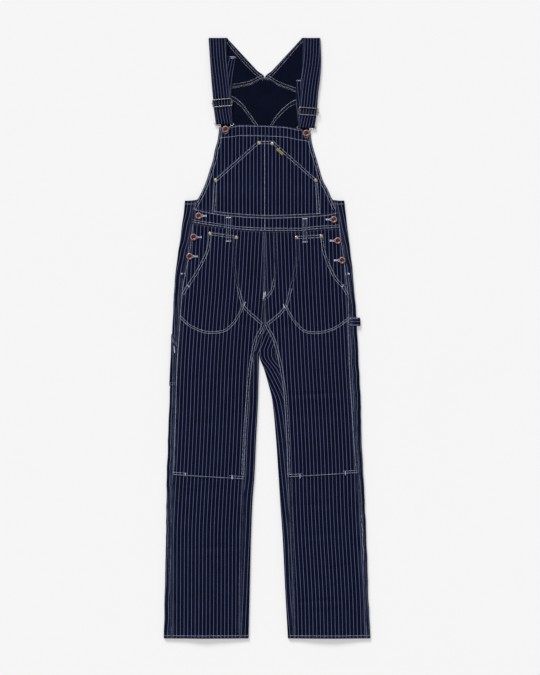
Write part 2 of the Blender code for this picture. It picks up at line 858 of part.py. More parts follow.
def bib_button(side, material):
    """A button on a shank at a top corner of the bib, with room for the hook's loop."""
    x, y = BIB_BUTTONS[side.name]
    foot = front_height(side, x, y) + GAP
    head = HOOK_CLEARANCE + 2 * WIRE_RADIUS + CONTACT
    profile = [
        (0, 0),
        (3.0, 0),
        (3.0, head),
        (BUTTON_RADIUS, head),
        (BUTTON_RADIUS, head + 1.2),
        (6.4, head + BUTTON_HEIGHT),
        (3.2, head + BUTTON_HEIGHT - 1.2),
        (0, head + BUTTON_HEIGHT - 0.8),
    ]
    return turned(f"bib_button_{side.name}", profile, x, y, foot, material)


def side_button(place, material):
    """A button of the side placket."""
    profile = [
        (0, 0),
        (6.5, 0),
        (BUTTON_RADIUS, 1.0),
        (BUTTON_RADIUS, 1.8),
        (6.4, BUTTON_HEIGHT),
        (3.2, BUTTON_HEIGHT - 1.2),
        (0, BUTTON_HEIGHT - 0.8),
    ]
    on_band = CLOTH if place.y > 290 else 0.0
    foot = top_height(place.x, place.y) + on_band + GAP + CONTACT
    return turned(place.name, profile, place.x, place.y, foot, material)


def rivet(place, material):
    """A rivet at a pocket's corner."""
    profile = [
        (0, 0),
        (RIVET_RADIUS, 0),
        (RIVET_RADIUS, 0.5),
        (3.0, 1.1),
        (1.6, 1.2),
        (1.0, RIVET_HEIGHT),
        (0, RIVET_HEIGHT),
    ]
    highest = max(top_height(place.x, place.y + step) for step in (-RIVET_RADIUS, RIVET_RADIUS))
    foot = highest + DOUBLE_FRONT + GAP
    return turned(place.name, profile, place.x, place.y, foot, material, sides=14)


def rounded_frame(half_width, half_depth, corner, steps=3):
    """Points of a rectangle with round corners, in its own plane."""
    points = []
    for centre_x, centre_y, start in (
        (half_width - corner, half_depth - corner, 0),
        (corner - half_width, half_depth - corner, 90),
        (corner - half_width, corner - half_depth, 180),
        (half_width - corner, corner - half_depth, 270),
    ):
        for k in range(steps + 1):
            angle = math.radians(start + 90 * k / steps)
            points.append(
                (centre_x + corner * math.cos(angle), centre_y + corner * math.sin(angle), 0.0)
            )
    return points


def buckle(side, material):
    """The slide: a wire frame over the strap, and its bar under it with the ends turned up."""
    x, y, angle = BUCKLES[side.name]
    strap_top = read(STRAP_RUN[side.name][::-1], "z", y)
    frame_z = strap_top + GAP + BUCKLE_WIRE
    bar_z = strap_top - STRAP_CLOTH - GAP - BAR_RADIUS
    wire(
        f"buckle_frame_{side.name}",
        rounded_frame(BUCKLE_HALF_WIDTH, BUCKLE_HALF_DEPTH, 3.0),
        BUCKLE_WIRE,
        material,
        True,
        origin=(x, y, frame_z),
        turn=angle,
    )
    reach = BUCKLE_HALF_WIDTH + BUCKLE_WIRE + BAR_RADIUS + 0.4
    bar = [
        (-reach, 0, frame_z),
        (-reach, 0, bar_z + 1.2),
        (-reach + 1.2, 0, bar_z),
        (reach - 1.2, 0, bar_z),
        (reach, 0, bar_z + 1.2),
        (reach, 0, frame_z),
    ]
    wire(f"buckle_bar_{side.name}", bar, BAR_RADIUS, material, False, origin=(x, y, 0), turn=angle)


def belt_loop(side, material):
    """A narrow loop over the waistband."""
    x, top, foot = BELT_LOOPS[side.name]
    rows = []
    for y in spread(foot, top, 6):
        rows.append(
            [
                (at, y, top_height(at, y) + LAP + GAP + LOOP_CLOTH)
                for at in spread(x - BELT_LOOP_WIDTH / 2, x + BELT_LOOP_WIDTH / 2, 2)
            ]
        )
    return cloth(f"belt_loop_{side.name}", rows, material, thickness=LOOP_CLOTH)


def hammer_loop(material):
    """The loop at the wearer's left: from the outseam, out past the fold, and back underneath."""
    rows = []
    for y in spread(
        HAMMER_LOOP_Y - HAMMER_LOOP_WIDTH / 2, HAMMER_LOOP_Y + HAMMER_LOOP_WIDTH / 2, 2
    ):
        start = LEFT.back_edge(y) + GAP
        high = FOLD_HEIGHT + LAP + CONTACT
        turn = fold_arc(LEFT.at("fold", y) + HAMMER_LOOP_OUT - high / 2, 0.0, high, 1)
        row = [(x, y, skin(LEFT, x, y) + LAP + CONTACT) for x in spread(start, turn[0][0] - 4, 2)]
        row += [(x, y, z) for x, z in turn]
        row.append((LEFT.at("fold", y) - HAMMER_LOOP_UNDER, y, 0.0))
        rows.append(row)
    return cloth("hammer_loop", rows, material)


def tool_pocket(material):
    """The rule pocket on the wearer's right: it wraps the side fold from the outseam to beneath."""
    rows = []
    for share in spread(0.0, 1.0, 4):
        row = []

        def add(x_of, z_of, top):
            y = mix(TOOL_POCKET_FOOT_Y, top, share)
            row.append((x_of(y), y, z_of(y)))

        for part, top in ((0.0, -10), (0.5, 0)):
            add(
                lambda y: mix(RIGHT.back_edge(y) + RIGHT.out, outer_fold(RIGHT, y)[0][0], part),
                lambda y: skin(RIGHT, RIGHT.back_edge(y), y) + LAP,
                top,
            )
        for k in range(FOLD_STEPS + 1):
            angle = math.pi * k / FOLD_STEPS
            add(
                lambda y: outer_fold(RIGHT, y)[0][0] - (FOLD_RADIUS + LAP / 2) * math.sin(angle),
                lambda y: (FOLD_HEIGHT + LAP) / 2 * (1 + math.cos(angle)),
                8 + k,
            )
        for part in (0.5, 1.0):
            add(
                lambda y: outer_fold(RIGHT, y)[0][0] + TOOL_POCKET_UNDER * part,
                lambda y: 0.0,
                14,
            )
        rows.append(row)
    return cloth("tool_pocket", rows, material, flip=True)


def tab(material):
    """The small folded tab in the pocket's slanting edge."""
    x, y, angle = TAB
    length, width, height = TAB_SIZE
    form = bmesh.new()
    bmesh.ops.create_cube(form, size=1.0)
    bmesh.ops.scale(form, verts=form.verts, vec=[v * MM for v in TAB_SIZE])
    mesh = bpy.data.meshes.new("pocket_tab")
    form.to_mesh(mesh)
    form.free()
    thing = new_object("pocket_tab", mesh, material)
    rise = top_height(x, y) + LAP + 2 * GAP + height / 2
    thing.location = (x * MM, y * MM, rise * MM)
    thing.rotation_euler = (0, 0, math.radians(angle))
    edge = thing.modifiers.new("edge", "BEVEL")
    edge.width = 0.25 * MM
    edge.segments = 1
    return thing


def main():
    """Makes every piece in an empty scene."""
    for thing in list(bpy.data.objects):
        bpy.data.objects.remove(thing)
    denim = material_of("striped_denim", CLOTH_COLOUR, 0.85)
    steel = material_of("hook_steel", STEEL_COLOUR, 0.3, 1.0)
    copper = material_of("button_copper", COPPER_COLOUR, 0.4, 1.0)
    brass = material_of("rivet_brass", BRASS_COLOUR, 0.35, 1.0)
    woven = material_of("tab_weave", TAB_COLOUR, 0.8)
    for side in (RIGHT, LEFT):
        trouser_front(side, denim)
        trouser_back(side, denim)
        underlap(side, denim)
        double_front(side, denim)
        belt_loop(side, denim)
        strap(side, denim)
        bib_hook(side, steel)
        bib_button(side, copper)
        buckle(side, steel)
    waistband(denim)
    bib(denim)
    bib_pocket(denim)
    back_yoke(denim)
    hammer_loop(denim)
    tool_pocket(denim)
    tab(woven)
    for place in SIDE_BUTTONS:
        side_button(place, copper)
    for place in RIVETS:
        rivet(place, brass)


main()
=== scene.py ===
"""Striped denim dungarees, laid flat with the front up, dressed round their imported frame.

The tables and the dataclass fields are in millimetres, and every mesh is made in metres. X runs to
the wearer's left, Y from the hems to the shoulders, and Z up from the surface the garment lies on.
"""

import logging
import math
from bisect import bisect_right
from dataclasses import dataclass, field, replace
from enum import Enum
from functools import cache
from typing import Any, Callable, Iterable, NamedTuple, Sequence

import bmesh
import bpy
import numpy as np
from mathutils import Euler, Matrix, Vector, noise
from mathutils.bvhtree import BVHTree


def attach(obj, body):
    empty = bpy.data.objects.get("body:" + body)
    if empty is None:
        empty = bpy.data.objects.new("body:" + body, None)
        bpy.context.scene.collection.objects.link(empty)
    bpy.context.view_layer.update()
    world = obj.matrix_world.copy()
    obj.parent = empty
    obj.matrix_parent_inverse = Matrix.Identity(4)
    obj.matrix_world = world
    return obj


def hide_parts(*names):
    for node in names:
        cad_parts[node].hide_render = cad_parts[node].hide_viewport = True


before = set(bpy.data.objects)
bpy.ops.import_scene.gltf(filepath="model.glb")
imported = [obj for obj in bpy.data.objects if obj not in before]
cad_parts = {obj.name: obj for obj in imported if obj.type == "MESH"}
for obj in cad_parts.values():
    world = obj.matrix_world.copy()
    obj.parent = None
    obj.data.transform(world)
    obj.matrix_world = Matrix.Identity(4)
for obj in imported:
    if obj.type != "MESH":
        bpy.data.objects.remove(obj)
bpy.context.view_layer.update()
LOG = logging.getLogger("dungarees")

MM = 0.001
CLOTH = 1.2
STRAP_CLOTH = 1.6
GAP = 0.3
LAP = CLOTH + GAP
HALF_GAP = GAP / 2
PATCH_LAP = CLOTH + 0.45
POCKET_LAP = CLOTH + 0.4

HEM_Y = -765.0
KNEE_Y = -350.0
FORK_Y = -43.0
CROTCH_Y = 37.0
SIDE_OPENING_Y = 164.0
WING_TOP_Y = 350.0
SHOULDER_Y = 765.0
CENTRE_X = -6.0
HIP_Y = 115.0
FOLD_RADIUS = 4.0
FOLD_HEIGHT = 2 * FOLD_RADIUS
CREASE_DEPTH = 1.6
LEG_CROWN = 6.0

Place = tuple[float, float]
Point = tuple[float, float, float]
Path = list[Place]
Piece = bpy.types.Object
Material = bpy.types.Material


class SideRow(NamedTuple):
    """One station of a side: the turned fold, both seams, and the leg's inner fold, as places in X."""

    y: float
    fold: float
    outseam: float
    inseam: float
    inner: float


class BodyRow(NamedTuple):
    """The crown of the body over both legs: where it ends, its height there, and its rise."""

    y: float
    right: float
    left: float
    edge: float
    crown: float


class PairRow(NamedTuple):
    """Places in X of the same edge on the wearer's right and left."""

    y: float
    right: float
    left: float


class AcrossRow(NamedTuple):
    """A point of an edge that runs across the garment."""

    x: float
    y: float


class StrapRow(NamedTuple):
    """Both edges of a strap and the height of its outer face."""

    y: float
    right: float
    left: float
    z: float


class Crease(NamedTuple):
    """A soft fold: its two ends, its half width, and its rise, which is negative in a trough."""

    x: float
    y: float
    to_x: float
    to_y: float
    width: float
    rise: float


def table(kind: Callable[..., Any], *rows: tuple[float, ...]) -> list[Any]:
    """A table of named columns, from its rows of values."""
    return [kind(*row) for row in rows]


RIGHT_ROWS = table(SideRow, (-765, -263.5, -243, -66, -47), (-640, -261, -244, -64, -44),
    (-515, -258, -244, -61, -41), (-413, -257, -243, -59, -37), (-349, -256, -241, -57, -32),
    (-260, -253, -238, -53, -28), (-158, -249, -235, -46, -23), (-81, -246, -233, -39, -21),
    (-43, -244, -231, -33, -20), (-5, -243, -228, -24, -14), (37, -241, -225, -6, -6), (85, -239, -222, -6, -6),
    (123, -237, -218, -6, -6), (164, -234, -211, -6, -6), (225, -226, -199, -6, -6), (263, -221, -195, -6, -6),
    (296, -216, -191.5, -6, -6), (327, -212, -188.5, -6, -6), (352, -210, -180, -6, -6))
LEFT_ROWS = table(SideRow, (-765, 263.5, 253, 65, 53), (-640, 258, 247, 62, 46), (-515, 254, 241, 59, 40),
    (-413, 249, 235, 55, 33), (-349, 246, 231, 51, 29), (-260, 241, 224, 48, 23), (-158, 239, 218, 42, 13),
    (-120, 237, 215, 38, 4), (-81, 235, 213, 32, -7), (-43, 233, 212, 24, -19.6), (-5, 231, 211, 13, -14),
    (37, 229, 210, -6, -6), (85, 226, 210, -6, -6), (123, 222, 208, -6, -6), (164, 219, 203, -6, -6),
    (225, 212, 195, -6, -6), (263, 207, 190, -6, -6), (296, 203, 185.5, -6, -6), (327, 200, 177.5, -6, -6),
    (352, 198, 169, -6, -6))
BODY_ROWS = table(BodyRow, (-43, -240, 229, 8.0, 5.0), (37, -237, 225, 8.0, 7.0), (123, -233, 218, 8.0, 9.0),
    (225, -222, 208, 8.0, 9.0), (296, -212, 199, 8.0, 8.5), (352, -205, 192, 8.0, 7.5), (403, -156, 144, 4.4, 6.0),
    (454, -139, 128, 3.4, 5.0), (543, -123, 110, 3.0, 4.4))
BIB_ROWS = table(PairRow, (300, -192, 184), (327, -189, 177), (341, -184, 171), (352, -177, 166), (378, -164, 155),
    (403, -154, 142), (429, -146, 134), (454, -138, 127), (480, -133, 119), (505, -126, 113), (545, -121, 109))
BIB_TOP = table(AcrossRow, (-122, 537), (-88, 540.5), (-70, 543), (-16, 542), (46, 539), (80, 532.5), (110, 528))
BAND_TOP = table(AcrossRow, (-190, 331), (-147, 321), (-89, 313), (4, 308), (77, 310), (150, 315), (181, 322))
BAND_FOOT = table(AcrossRow, (-192, 293), (-134, 284), (-61, 274), (4, 271), (83, 271), (118, 275), (188, 280))
POCKET_OPENING = table(PairRow, (112, -219, 209.5), (131, -209, 200), (154, -193, 179), (193, -171, 160),
    (229, -155, 148), (272, -149, 143))
FLY_CURVE = table(PairRow, (37, -6, -6), (54, -25, 16), (70, -43, 33), (88, -57, 45), (129, -68, 56),
    (159, -75, 64), (198, -79, 71), (262, -73, 71))
BIB_POCKET_ROWS = table(PairRow, (300, -145, 138), (317, -142, 136), (351, -139, 134), (403, -137, 130),
    (503, -24, 17))
BACK_EDGE = table(PairRow, (350, -206, 194), (352, -181, 169), (358, -174, 164), (380, -158, 148),
    (403, -148, 137), (454, -132, 121), (505, -119, 108), (545, -118, 108), (590, -126, 113), (633, -134, 118),
    (700, -141, 128), (765, -149, 135))
YOKE_TOP = table(AcrossRow, (-134, 636), (-93, 637), (-70, 640), (-44, 646), (-6, 661), (32, 643), (58, 633),
    (76, 627), (118, 622))
YOKE_FOOT = table(AcrossRow, (-134, 630), (-89, 618), (-66, 601), (-45, 574), (-24, 545), (-6, 523), (8, 543),
    (19, 562), (40, 586), (71, 608), (118, 616))
STRAP_RUN = {
    "right": table(StrapRow, (761, -149, -103, 7.2), (702, -145, -102, 7.2), (659, -142, -99, 7.4),
        (618, -138.5, -94, 7.6), (580, -135, -91, 7.6), (547, -131, -87, 8.0)),
    "left": table(StrapRow, (761, 91, 136, 7.2), (702, 90, 138, 7.2), (659, 87, 135, 7.4),
        (618, 85, 130, 7.6), (577, 83, 127, 7.6), (538, 79, 122, 8.0)),
}
STRAP_TAIL = {
    "right": table(StrapRow, (547, -130, -88, 2.0), (590, -132, -91, 2.0), (633, -131, -90, 2.0),
        (680, -127, -86, 2.0), (719, -121, -80, 2.0)),
    "left": table(StrapRow, (538, 80, 121, 2.0), (577, 76, 117, 2.0), (605, 74, 115, 2.0),
        (632, 73, 113, 2.0), (660, 76, 113, 2.0)),
}
# How far the stripes lean: their shift in X from where they meet the hem or the waistband
GRAIN = table(PairRow, (-765, 0, 0), (-680, 0.5, -2), (-590, 0.8, -6.3), (-509, 1.2, -11), (-418, 4.8, -15),
    (-326, 10, -17.5), (-203, 15.5, -23), (-81, 20, -30), (41, 27.5, -36), (133, 34.5, -40.5), (225, 39.5, -44),
    (350, 46, -48))
# On the left leg, on the right leg, round the fork and the fly, at the hips, and on the bib
CREASES = table(Crease, (48, -147, 192, -138, 4.2, -1.9), (60, -158, 196, -151, 9, 1.0),
    (66, -201, 188, -196, 9, -0.9), (70, -300, 160, -290, 16, 0.8), (76, -427, 172, -421, 9, -1.0),
    (82, -504, 194, -497, 8, -1.1), (92, -516, 180, -512, 10, 0.7), (146, -590, 206, -580, 8, -1.0),
    (78, -672, 196, -667, 4.2, -1.9), (84, -683, 190, -680, 9, 0.9), (224, -420, 236, -610, 11, -0.9),
    (-198, -105, -92, -99, 9, -0.9), (-205, -217, -88, -212, 10, -0.9), (-222, -300, -110, -322, 14, 0.7),
    (-218, -398, -96, -378, 12, -0.8), (-192, -537, -64, -530, 8, -1.2), (-180, -549, -76, -543, 10, 0.7),
    (-205, -762, -190, -590, 17, -1.6), (-128, -762, -134, -640, 14, -1.3), (-84, -700, -96, -600, 12, 0.8),
    (-7, 98, -5, 46, 2.6, -3.0), (-16, 62, -66, 104, 8, 0.9), (4, 60, 50, 98, 8, 0.9), (-30, 30, -86, 44, 9, -0.8),
    (22, 28, 84, 38, 9, -0.8), (-14, 240, -12, 108, 4, -0.8), (-42, 246, -50, 160, 10, 0.7),
    (48, 240, 52, 150, 10, 0.7), (-176, 250, -196, 190, 9, -1.0), (170, 238, 186, 176, 9, -1.0),
    (-212, 120, -170, 60, 12, 0.9), (206, 110, 172, 40, 12, 0.9), (-4, 545, -2, 308, 2.4, 0.55),
    (-2, 308, -7, 262, 2.4, 0.4), (101, 476, 120, 412, 10, -1.1), (-116, 470, -134, 400, 10, -0.9),
    (-90, 470, -60, 372, 14, 0.7), (62, 452, 84, 352, 13, -0.7), (-40, 420, -34, 330, 12, -0.6))
UNDER_CREASES = table(Crease, (-60, 60, -150, 10, 9, 1.5), (48, 52, 150, -2, 9, 1.4),
    (-80, -180, -200, -196, 10, 1.2), (60, -230, 190, -214, 10, 1.3), (-90, -470, -215, -452, 9, 1.0),
    (84, -560, 215, -548, 10, 1.2), (-40, 300, -110, 250, 12, 1.2), (30, 330, 96, 262, 12, 1.1),
    (-70, 470, -30, 400, 10, 1.0), (-52, 600, 26, 575, 9, 0.5))


def smoothstep(low: float, high: float, value: float) -> float:
    """A share from 0 at low to 1 at high, level at both ends."""
    share = min(1.0, max(0.0, (value - low) / (high - low)))
    return share * share * (3 - 2 * share)


def mix(first: float, second: float, share: float) -> float:
    """The value a share of the way from first to second."""
    return first + (second - first) * share


def spread(start: float, end: float, count: int) -> list[float]:
    """count + 1 values from start to end."""
    return [mix(start, end, k / count) for k in range(count + 1)]


def bell(distance: float, width: float) -> float:
    """1 at no distance, falling away smoothly over the width."""
    return math.exp(-((distance / width) ** 2))


def graded(length: float, step: float, close: Sequence[float] = (1.2, 3.0, 5.5)) -> list[float]:
    """Shares from 0 to 1 along a length, a step apart, with closer ones by both ends.

    Args:
        length: the length in millimetres.
        step: the usual distance between two values.
        close: distances from each end that get a value of their own.

    Returns:
        The shares, in order.
    """
    start = close[-1]
    count = max(1, round((length - 2 * start) / step))
    middle = spread(start, length - start, count)
    places = [0.0, *close[:-1], *middle, *[length - d for d in close[-2::-1]], length]
    return [place / length for place in places]


class Profile:
    """A smooth curve through the values of a table's column, with no overshoot."""

    def __init__(self, rows: Sequence[NamedTuple], column: str, key: str = "y") -> None:
        """Reads one column of a table against its key column."""
        self.keys = [float(getattr(row, key)) for row in rows]
        self.values = [float(getattr(row, column)) for row in rows]
        gaps = list(zip(self.keys, self.keys[1:], self.values, self.values[1:]))
        slopes = [(high - low) / (end - start) for start, end, low, high in gaps]
        self.tangents = [slopes[0]]
        for before, after in zip(slopes, slopes[1:]):
            turned = before * after <= 0
            self.tangents.append(0.0 if turned else 2 * before * after / (before + after))
        self.tangents.append(slopes[-1])

    def __call__(self, key: float) -> float:
        """The curve's value at a key, held level beyond both ends."""
        if key <= self.keys[0]:
            return self.values[0]
        if key >= self.keys[-1]:
            return self.values[-1]
        i = bisect_right(self.keys, key) - 1
        width = self.keys[i + 1] - self.keys[i]
        t = (key - self.keys[i]) / width
        ends = self.values[i] * (1 + 2 * t) * (1 - t) ** 2 + self.values[i + 1] * t * t * (3 - 2 * t)
        bend = self.tangents[i] * t * (1 - t) ** 2 + self.tangents[i + 1] * t * t * (t - 1)
        return ends + width * bend


def across(rows: Sequence[NamedTuple]) -> Profile:
    """The level of an edge that runs across the garment, by its place in X."""
    return Profile(rows, "y", key="x")


def both(right: Any, left: Any) -> Any:
    """A dataclass field with one value for each side."""
    return field(default_factory=lambda: {"right": right, "left": left})


class Hand(Enum):
    """The wearer's two sides, valued by which way is outwards in X."""

    RIGHT = -1
    LEFT = 1

    @property
    def label(self) -> str:
        """The side's name in the frame's nodes."""
        return self.name.lower()


class Side:
    """One side of the garment: where its folds, seams and stripes run."""

    def __init__(self, hand: Hand, rows: list[SideRow]) -> None:
        """Makes the curves of one side from its table."""
        self.hand = hand
        self.name = hand.label
        self.out = hand.value
        columns = "fold", "outseam", "inseam", "inner"
        self.fold_line, self.outseam, self.inseam, self.inner = (Profile(rows, column) for column in columns)
        tables = GRAIN, BIB_ROWS, BACK_EDGE, POCKET_OPENING, FLY_CURVE
        self.grain, self.bib_edge, self.back_rim, self.opening, self.fly = map(self.pick, tables)

    def pick(self, rows: Sequence[NamedTuple]) -> Profile:
        """This side's column of a table that has one for each side."""
        return Profile(rows, self.name)

    def fold(self, y: float) -> float:
        """The side fold, which wanders a little as soft cloth does."""
        wander = noise.noise(Vector((self.out * 7.3, y / 46, 0.0)))
        return self.fold_line(y) - self.out * 1.8 * abs(wander)

    def back_edge(self, y: float) -> float:
        """Where the back ends on top: at the outseam, and a little clear of it in the side placket."""
        clear = HALF_GAP + (2 + HALF_GAP) * smoothstep(137, SIDE_OPENING_Y, y)
        return self.outseam(y) + self.out * clear

    def floor(self, x: float, y: float) -> float:
        """How far the underside is held up by the tool pocket or the hammer loop beneath it."""
        if self.hand is Hand.RIGHT:
            there = smoothstep(-165, -125, y) - smoothstep(20, 60, y)
        else:
            there = smoothstep(-20, 20, y) - smoothstep(60, 110, y)
        return LAP * there * (1 - smoothstep(90, 120, abs(self.fold_line(y) - x)))


RIGHT = Side(Hand.RIGHT, RIGHT_ROWS)
LEFT = Side(Hand.LEFT, LEFT_ROWS)
SIDES = (RIGHT, LEFT)


def side_of(x: float) -> Side:
    """The side of the garment that a place in X is on."""
    return RIGHT if x < CENTRE_X else LEFT


class LaidForm:
    """How the garment lies: one outer skin over both legs and the body, with its creases."""

    def __init__(self) -> None:
        """Makes the curves of the body's crown."""
        columns = "right", "left", "edge", "crown"
        self.right, self.left, self.edge, self.rise = (Profile(BODY_ROWS, column) for column in columns)

    @staticmethod
    def crown(share: float) -> float:
        """The rise of cloth between two folds, at a share from -1 to 1 across."""
        return 0.5 * (1 + math.cos(math.pi * min(1.0, abs(share))))

    def leg(self, side: Side, x: float, y: float) -> float:
        """The height of the skin over one leg."""
        fold, inner = side.fold_line(y), side.inner(y)
        half = abs(fold - inner) / 2 - FOLD_RADIUS
        return FOLD_HEIGHT + LEG_CROWN * self.crown((x - (fold + inner) / 2) / half)

    def body(self, x: float, y: float) -> float:
        """The height of the skin over the body and the bib."""
        right, left = self.right(y), self.left(y)
        share = (x - (right + left) / 2) / ((left - right) / 2)
        return self.edge(y) + self.rise(y) * self.crown(share)

    @staticmethod
    def creased(x: float, y: float, creases: Iterable[Crease]) -> float:
        """The rise of all the creases of a list at one place."""
        total = 0.0
        for crease in creases:
            reach = 3 * crease.width
            if not min(crease.x, crease.to_x) - reach < x < max(crease.x, crease.to_x) + reach:
                continue
            if not min(crease.y, crease.to_y) - reach < y < max(crease.y, crease.to_y) + reach:
                continue
            run_x, run_y = crease.to_x - crease.x, crease.to_y - crease.y
            along = ((x - crease.x) * run_x + (y - crease.y) * run_y) / (run_x**2 + run_y**2)
            held = min(1.0, max(0.0, along))
            off = math.hypot(x - crease.x - held * run_x, y - crease.y - held * run_y)
            uneven = math.sin(math.pi * mix(0.12, 0.94, held)) ** 0.8
            total += CREASE_DEPTH * crease.rise * uneven * bell(off, crease.width)
        return total

    def ripple(self, x: float, y: float) -> float:
        """The slight unevenness of cloth that has been smoothed out by hand."""
        broad = noise.noise(Vector((x / 48, y / 85, 1.7)))
        fine = noise.noise(Vector((x / 19, y / 27, 5.1)))
        return 0.55 * broad + 0.22 * fine

    def skin(self, side: Side, x: float, y: float) -> float:
        """The height of the outer face of a single layer on top."""
        slack = self.creased(x, y, CREASES) + self.ripple(x, y)
        if y <= FORK_Y:
            height = self.leg(side, x, y)
        elif y >= HIP_Y:
            height = self.body(x, y)
        else:
            share = smoothstep(FORK_Y, HIP_Y, y)
            height = mix(self.leg(side, x, y), self.body(x, y), share)
        edge = abs(side.fold_line(y) - x) if y < WING_TOP_Y else 40.0
        return height + slack * smoothstep(0, 16, edge)

    def front(self, side: Side, x: float, y: float) -> float:
        """The skin, lifted by one layer where the front laps over the side placket."""
        edge = side.bib_edge(y) if y > WING_TOP_Y else side.outseam(y)
        there = smoothstep(115, SIDE_OPENING_Y, y) - smoothstep(WING_TOP_Y, 385, y)
        near = 1 - smoothstep(42, 155, abs(edge - x))
        return self.skin(side, x, y) + LAP * there * near

    def top(self, x: float, y: float) -> float:
        """The height of the front at any place."""
        return self.front(side_of(x), x, y)

    def row(self, side: Side, xs: Iterable[float], y: float) -> list[Point]:
        """Places on the skin at one level."""
        return [(x, y, self.skin(side, x, y)) for x in xs]

    def lifted(self, x: float, y: float) -> float:
        """How far the creases lift what lies on the surface."""
        return max(0.0, self.creased(x, y, UNDER_CREASES))

    def under(self, side: Side, x: float, y: float) -> float:
        """The height of the underside: flat on the surface, but for a few creases that rise off it."""
        return side.floor(x, y) + self.creased(x, y, UNDER_CREASES)


FORM = LaidForm()


def fold_arc(x: float, low: float, high: float, out: int, steps: int) -> list[Place]:
    """Points (x, z) of a half-round fold, from its top tangent round to the one beneath."""
    centre, radius = (high + low) / 2, (high - low) / 2
    turns = [math.pi * k / steps for k in range(steps + 1)]
    return [(x + out * radius * math.sin(a), centre + radius * math.cos(a)) for a in turns]


def along_edge(table: Sequence[NamedTuple], side: Side, shares: Sequence[float]) -> Path:
    """Points of an edge across the garment, from one side's end to the middle, at the given shares."""
    rim = side.outseam(table[0 if side is RIGHT else -1].y)
    height = across(table)
    xs = [mix(rim, CENTRE_X + side.out * HALF_GAP, share) for share in shares]
    return [(x, height(x)) for x in xs]


def yoke_line(side: Side, shares: Sequence[float]) -> list[float]:
    """Places in X where a back panel or strap joins the yoke, from the edge to the middle."""
    return [mix(side.back_rim(YOKE_FOOT[0].y), CENTRE_X + side.out * HALF_GAP, share) for share in shares]


def offset(path: Path, distance: float) -> Path:
    """A path moved sideways, to the left of the way it runs where the distance is positive."""
    moved = []
    for i, (x, y) in enumerate(path):
        before, after = path[max(0, i - 1)], path[min(len(path) - 1, i + 1)]
        run_x, run_y = after[0] - before[0], after[1] - before[1]
        length = math.hypot(run_x, run_y) or 1.0
        moved.append((x - distance * run_y / length, y + distance * run_x / length))
    return moved


def stepped(path: Path, step: float = 4.0) -> Path:
    """The same path with points a step apart, on straight lines between its own."""
    points = [path[0]]
    for (x, y), (to_x, to_y) in zip(path, path[1:]):
        count = max(1, round(math.hypot(to_x - x, to_y - y) / step))
        points += [(mix(x, to_x, k / count), mix(y, to_y, k / count)) for k in range(1, count + 1)]
    return points


def rounded(corners: Sequence[Place], step: float = 4.0) -> Path:
    """A smooth curve through a few places, as a path with points a step apart."""
    ends = [corners[0], *corners, corners[-1]]
    points: Path = [corners[0]]
    for a, b, c, d in zip(ends, ends[1:], ends[2:], ends[3:]):
        count = max(2, round(math.dist(b, c) / step))
        for k in range(1, count + 1):
            t = k / count
            weights = (-t + 2 * t**2 - t**3, 2 - 5 * t**2 + 3 * t**3, t + 4 * t**2 - 3 * t**3, t**3 - t**2)
            at = [sum(w * p[axis] for w, p in zip(weights, (a, b, c, d))) / 2 for axis in (0, 1)]
            points.append((at[0], at[1]))
    return points


def operator(operation: str, reflected: bool = False) -> Callable[["Node", Any], "Node"]:
    """A method of Node that makes one Math node, with its operands swapped where it is reflected."""

    def apply(node: "Node", other: Any) -> "Node":
        """The outcome of the operation."""
        values = (other, node) if reflected else (node, other)
        return Nodes(node.tree).maths(operation, *values)

    return apply


class Node:
    """A shader socket that takes part in arithmetic, by making the maths nodes it needs."""

    def __init__(self, tree: bpy.types.NodeTree, socket: Any) -> None:
        """Holds one output socket of a node tree."""
        self.tree = tree
        self.socket = socket

    __add__ = __radd__ = operator("ADD")
    __mul__ = __rmul__ = operator("MULTIPLY")
    __sub__, __rsub__ = operator("SUBTRACT"), operator("SUBTRACT", reflected=True)
    __truediv__, __rtruediv__ = operator("DIVIDE"), operator("DIVIDE", reflected=True)


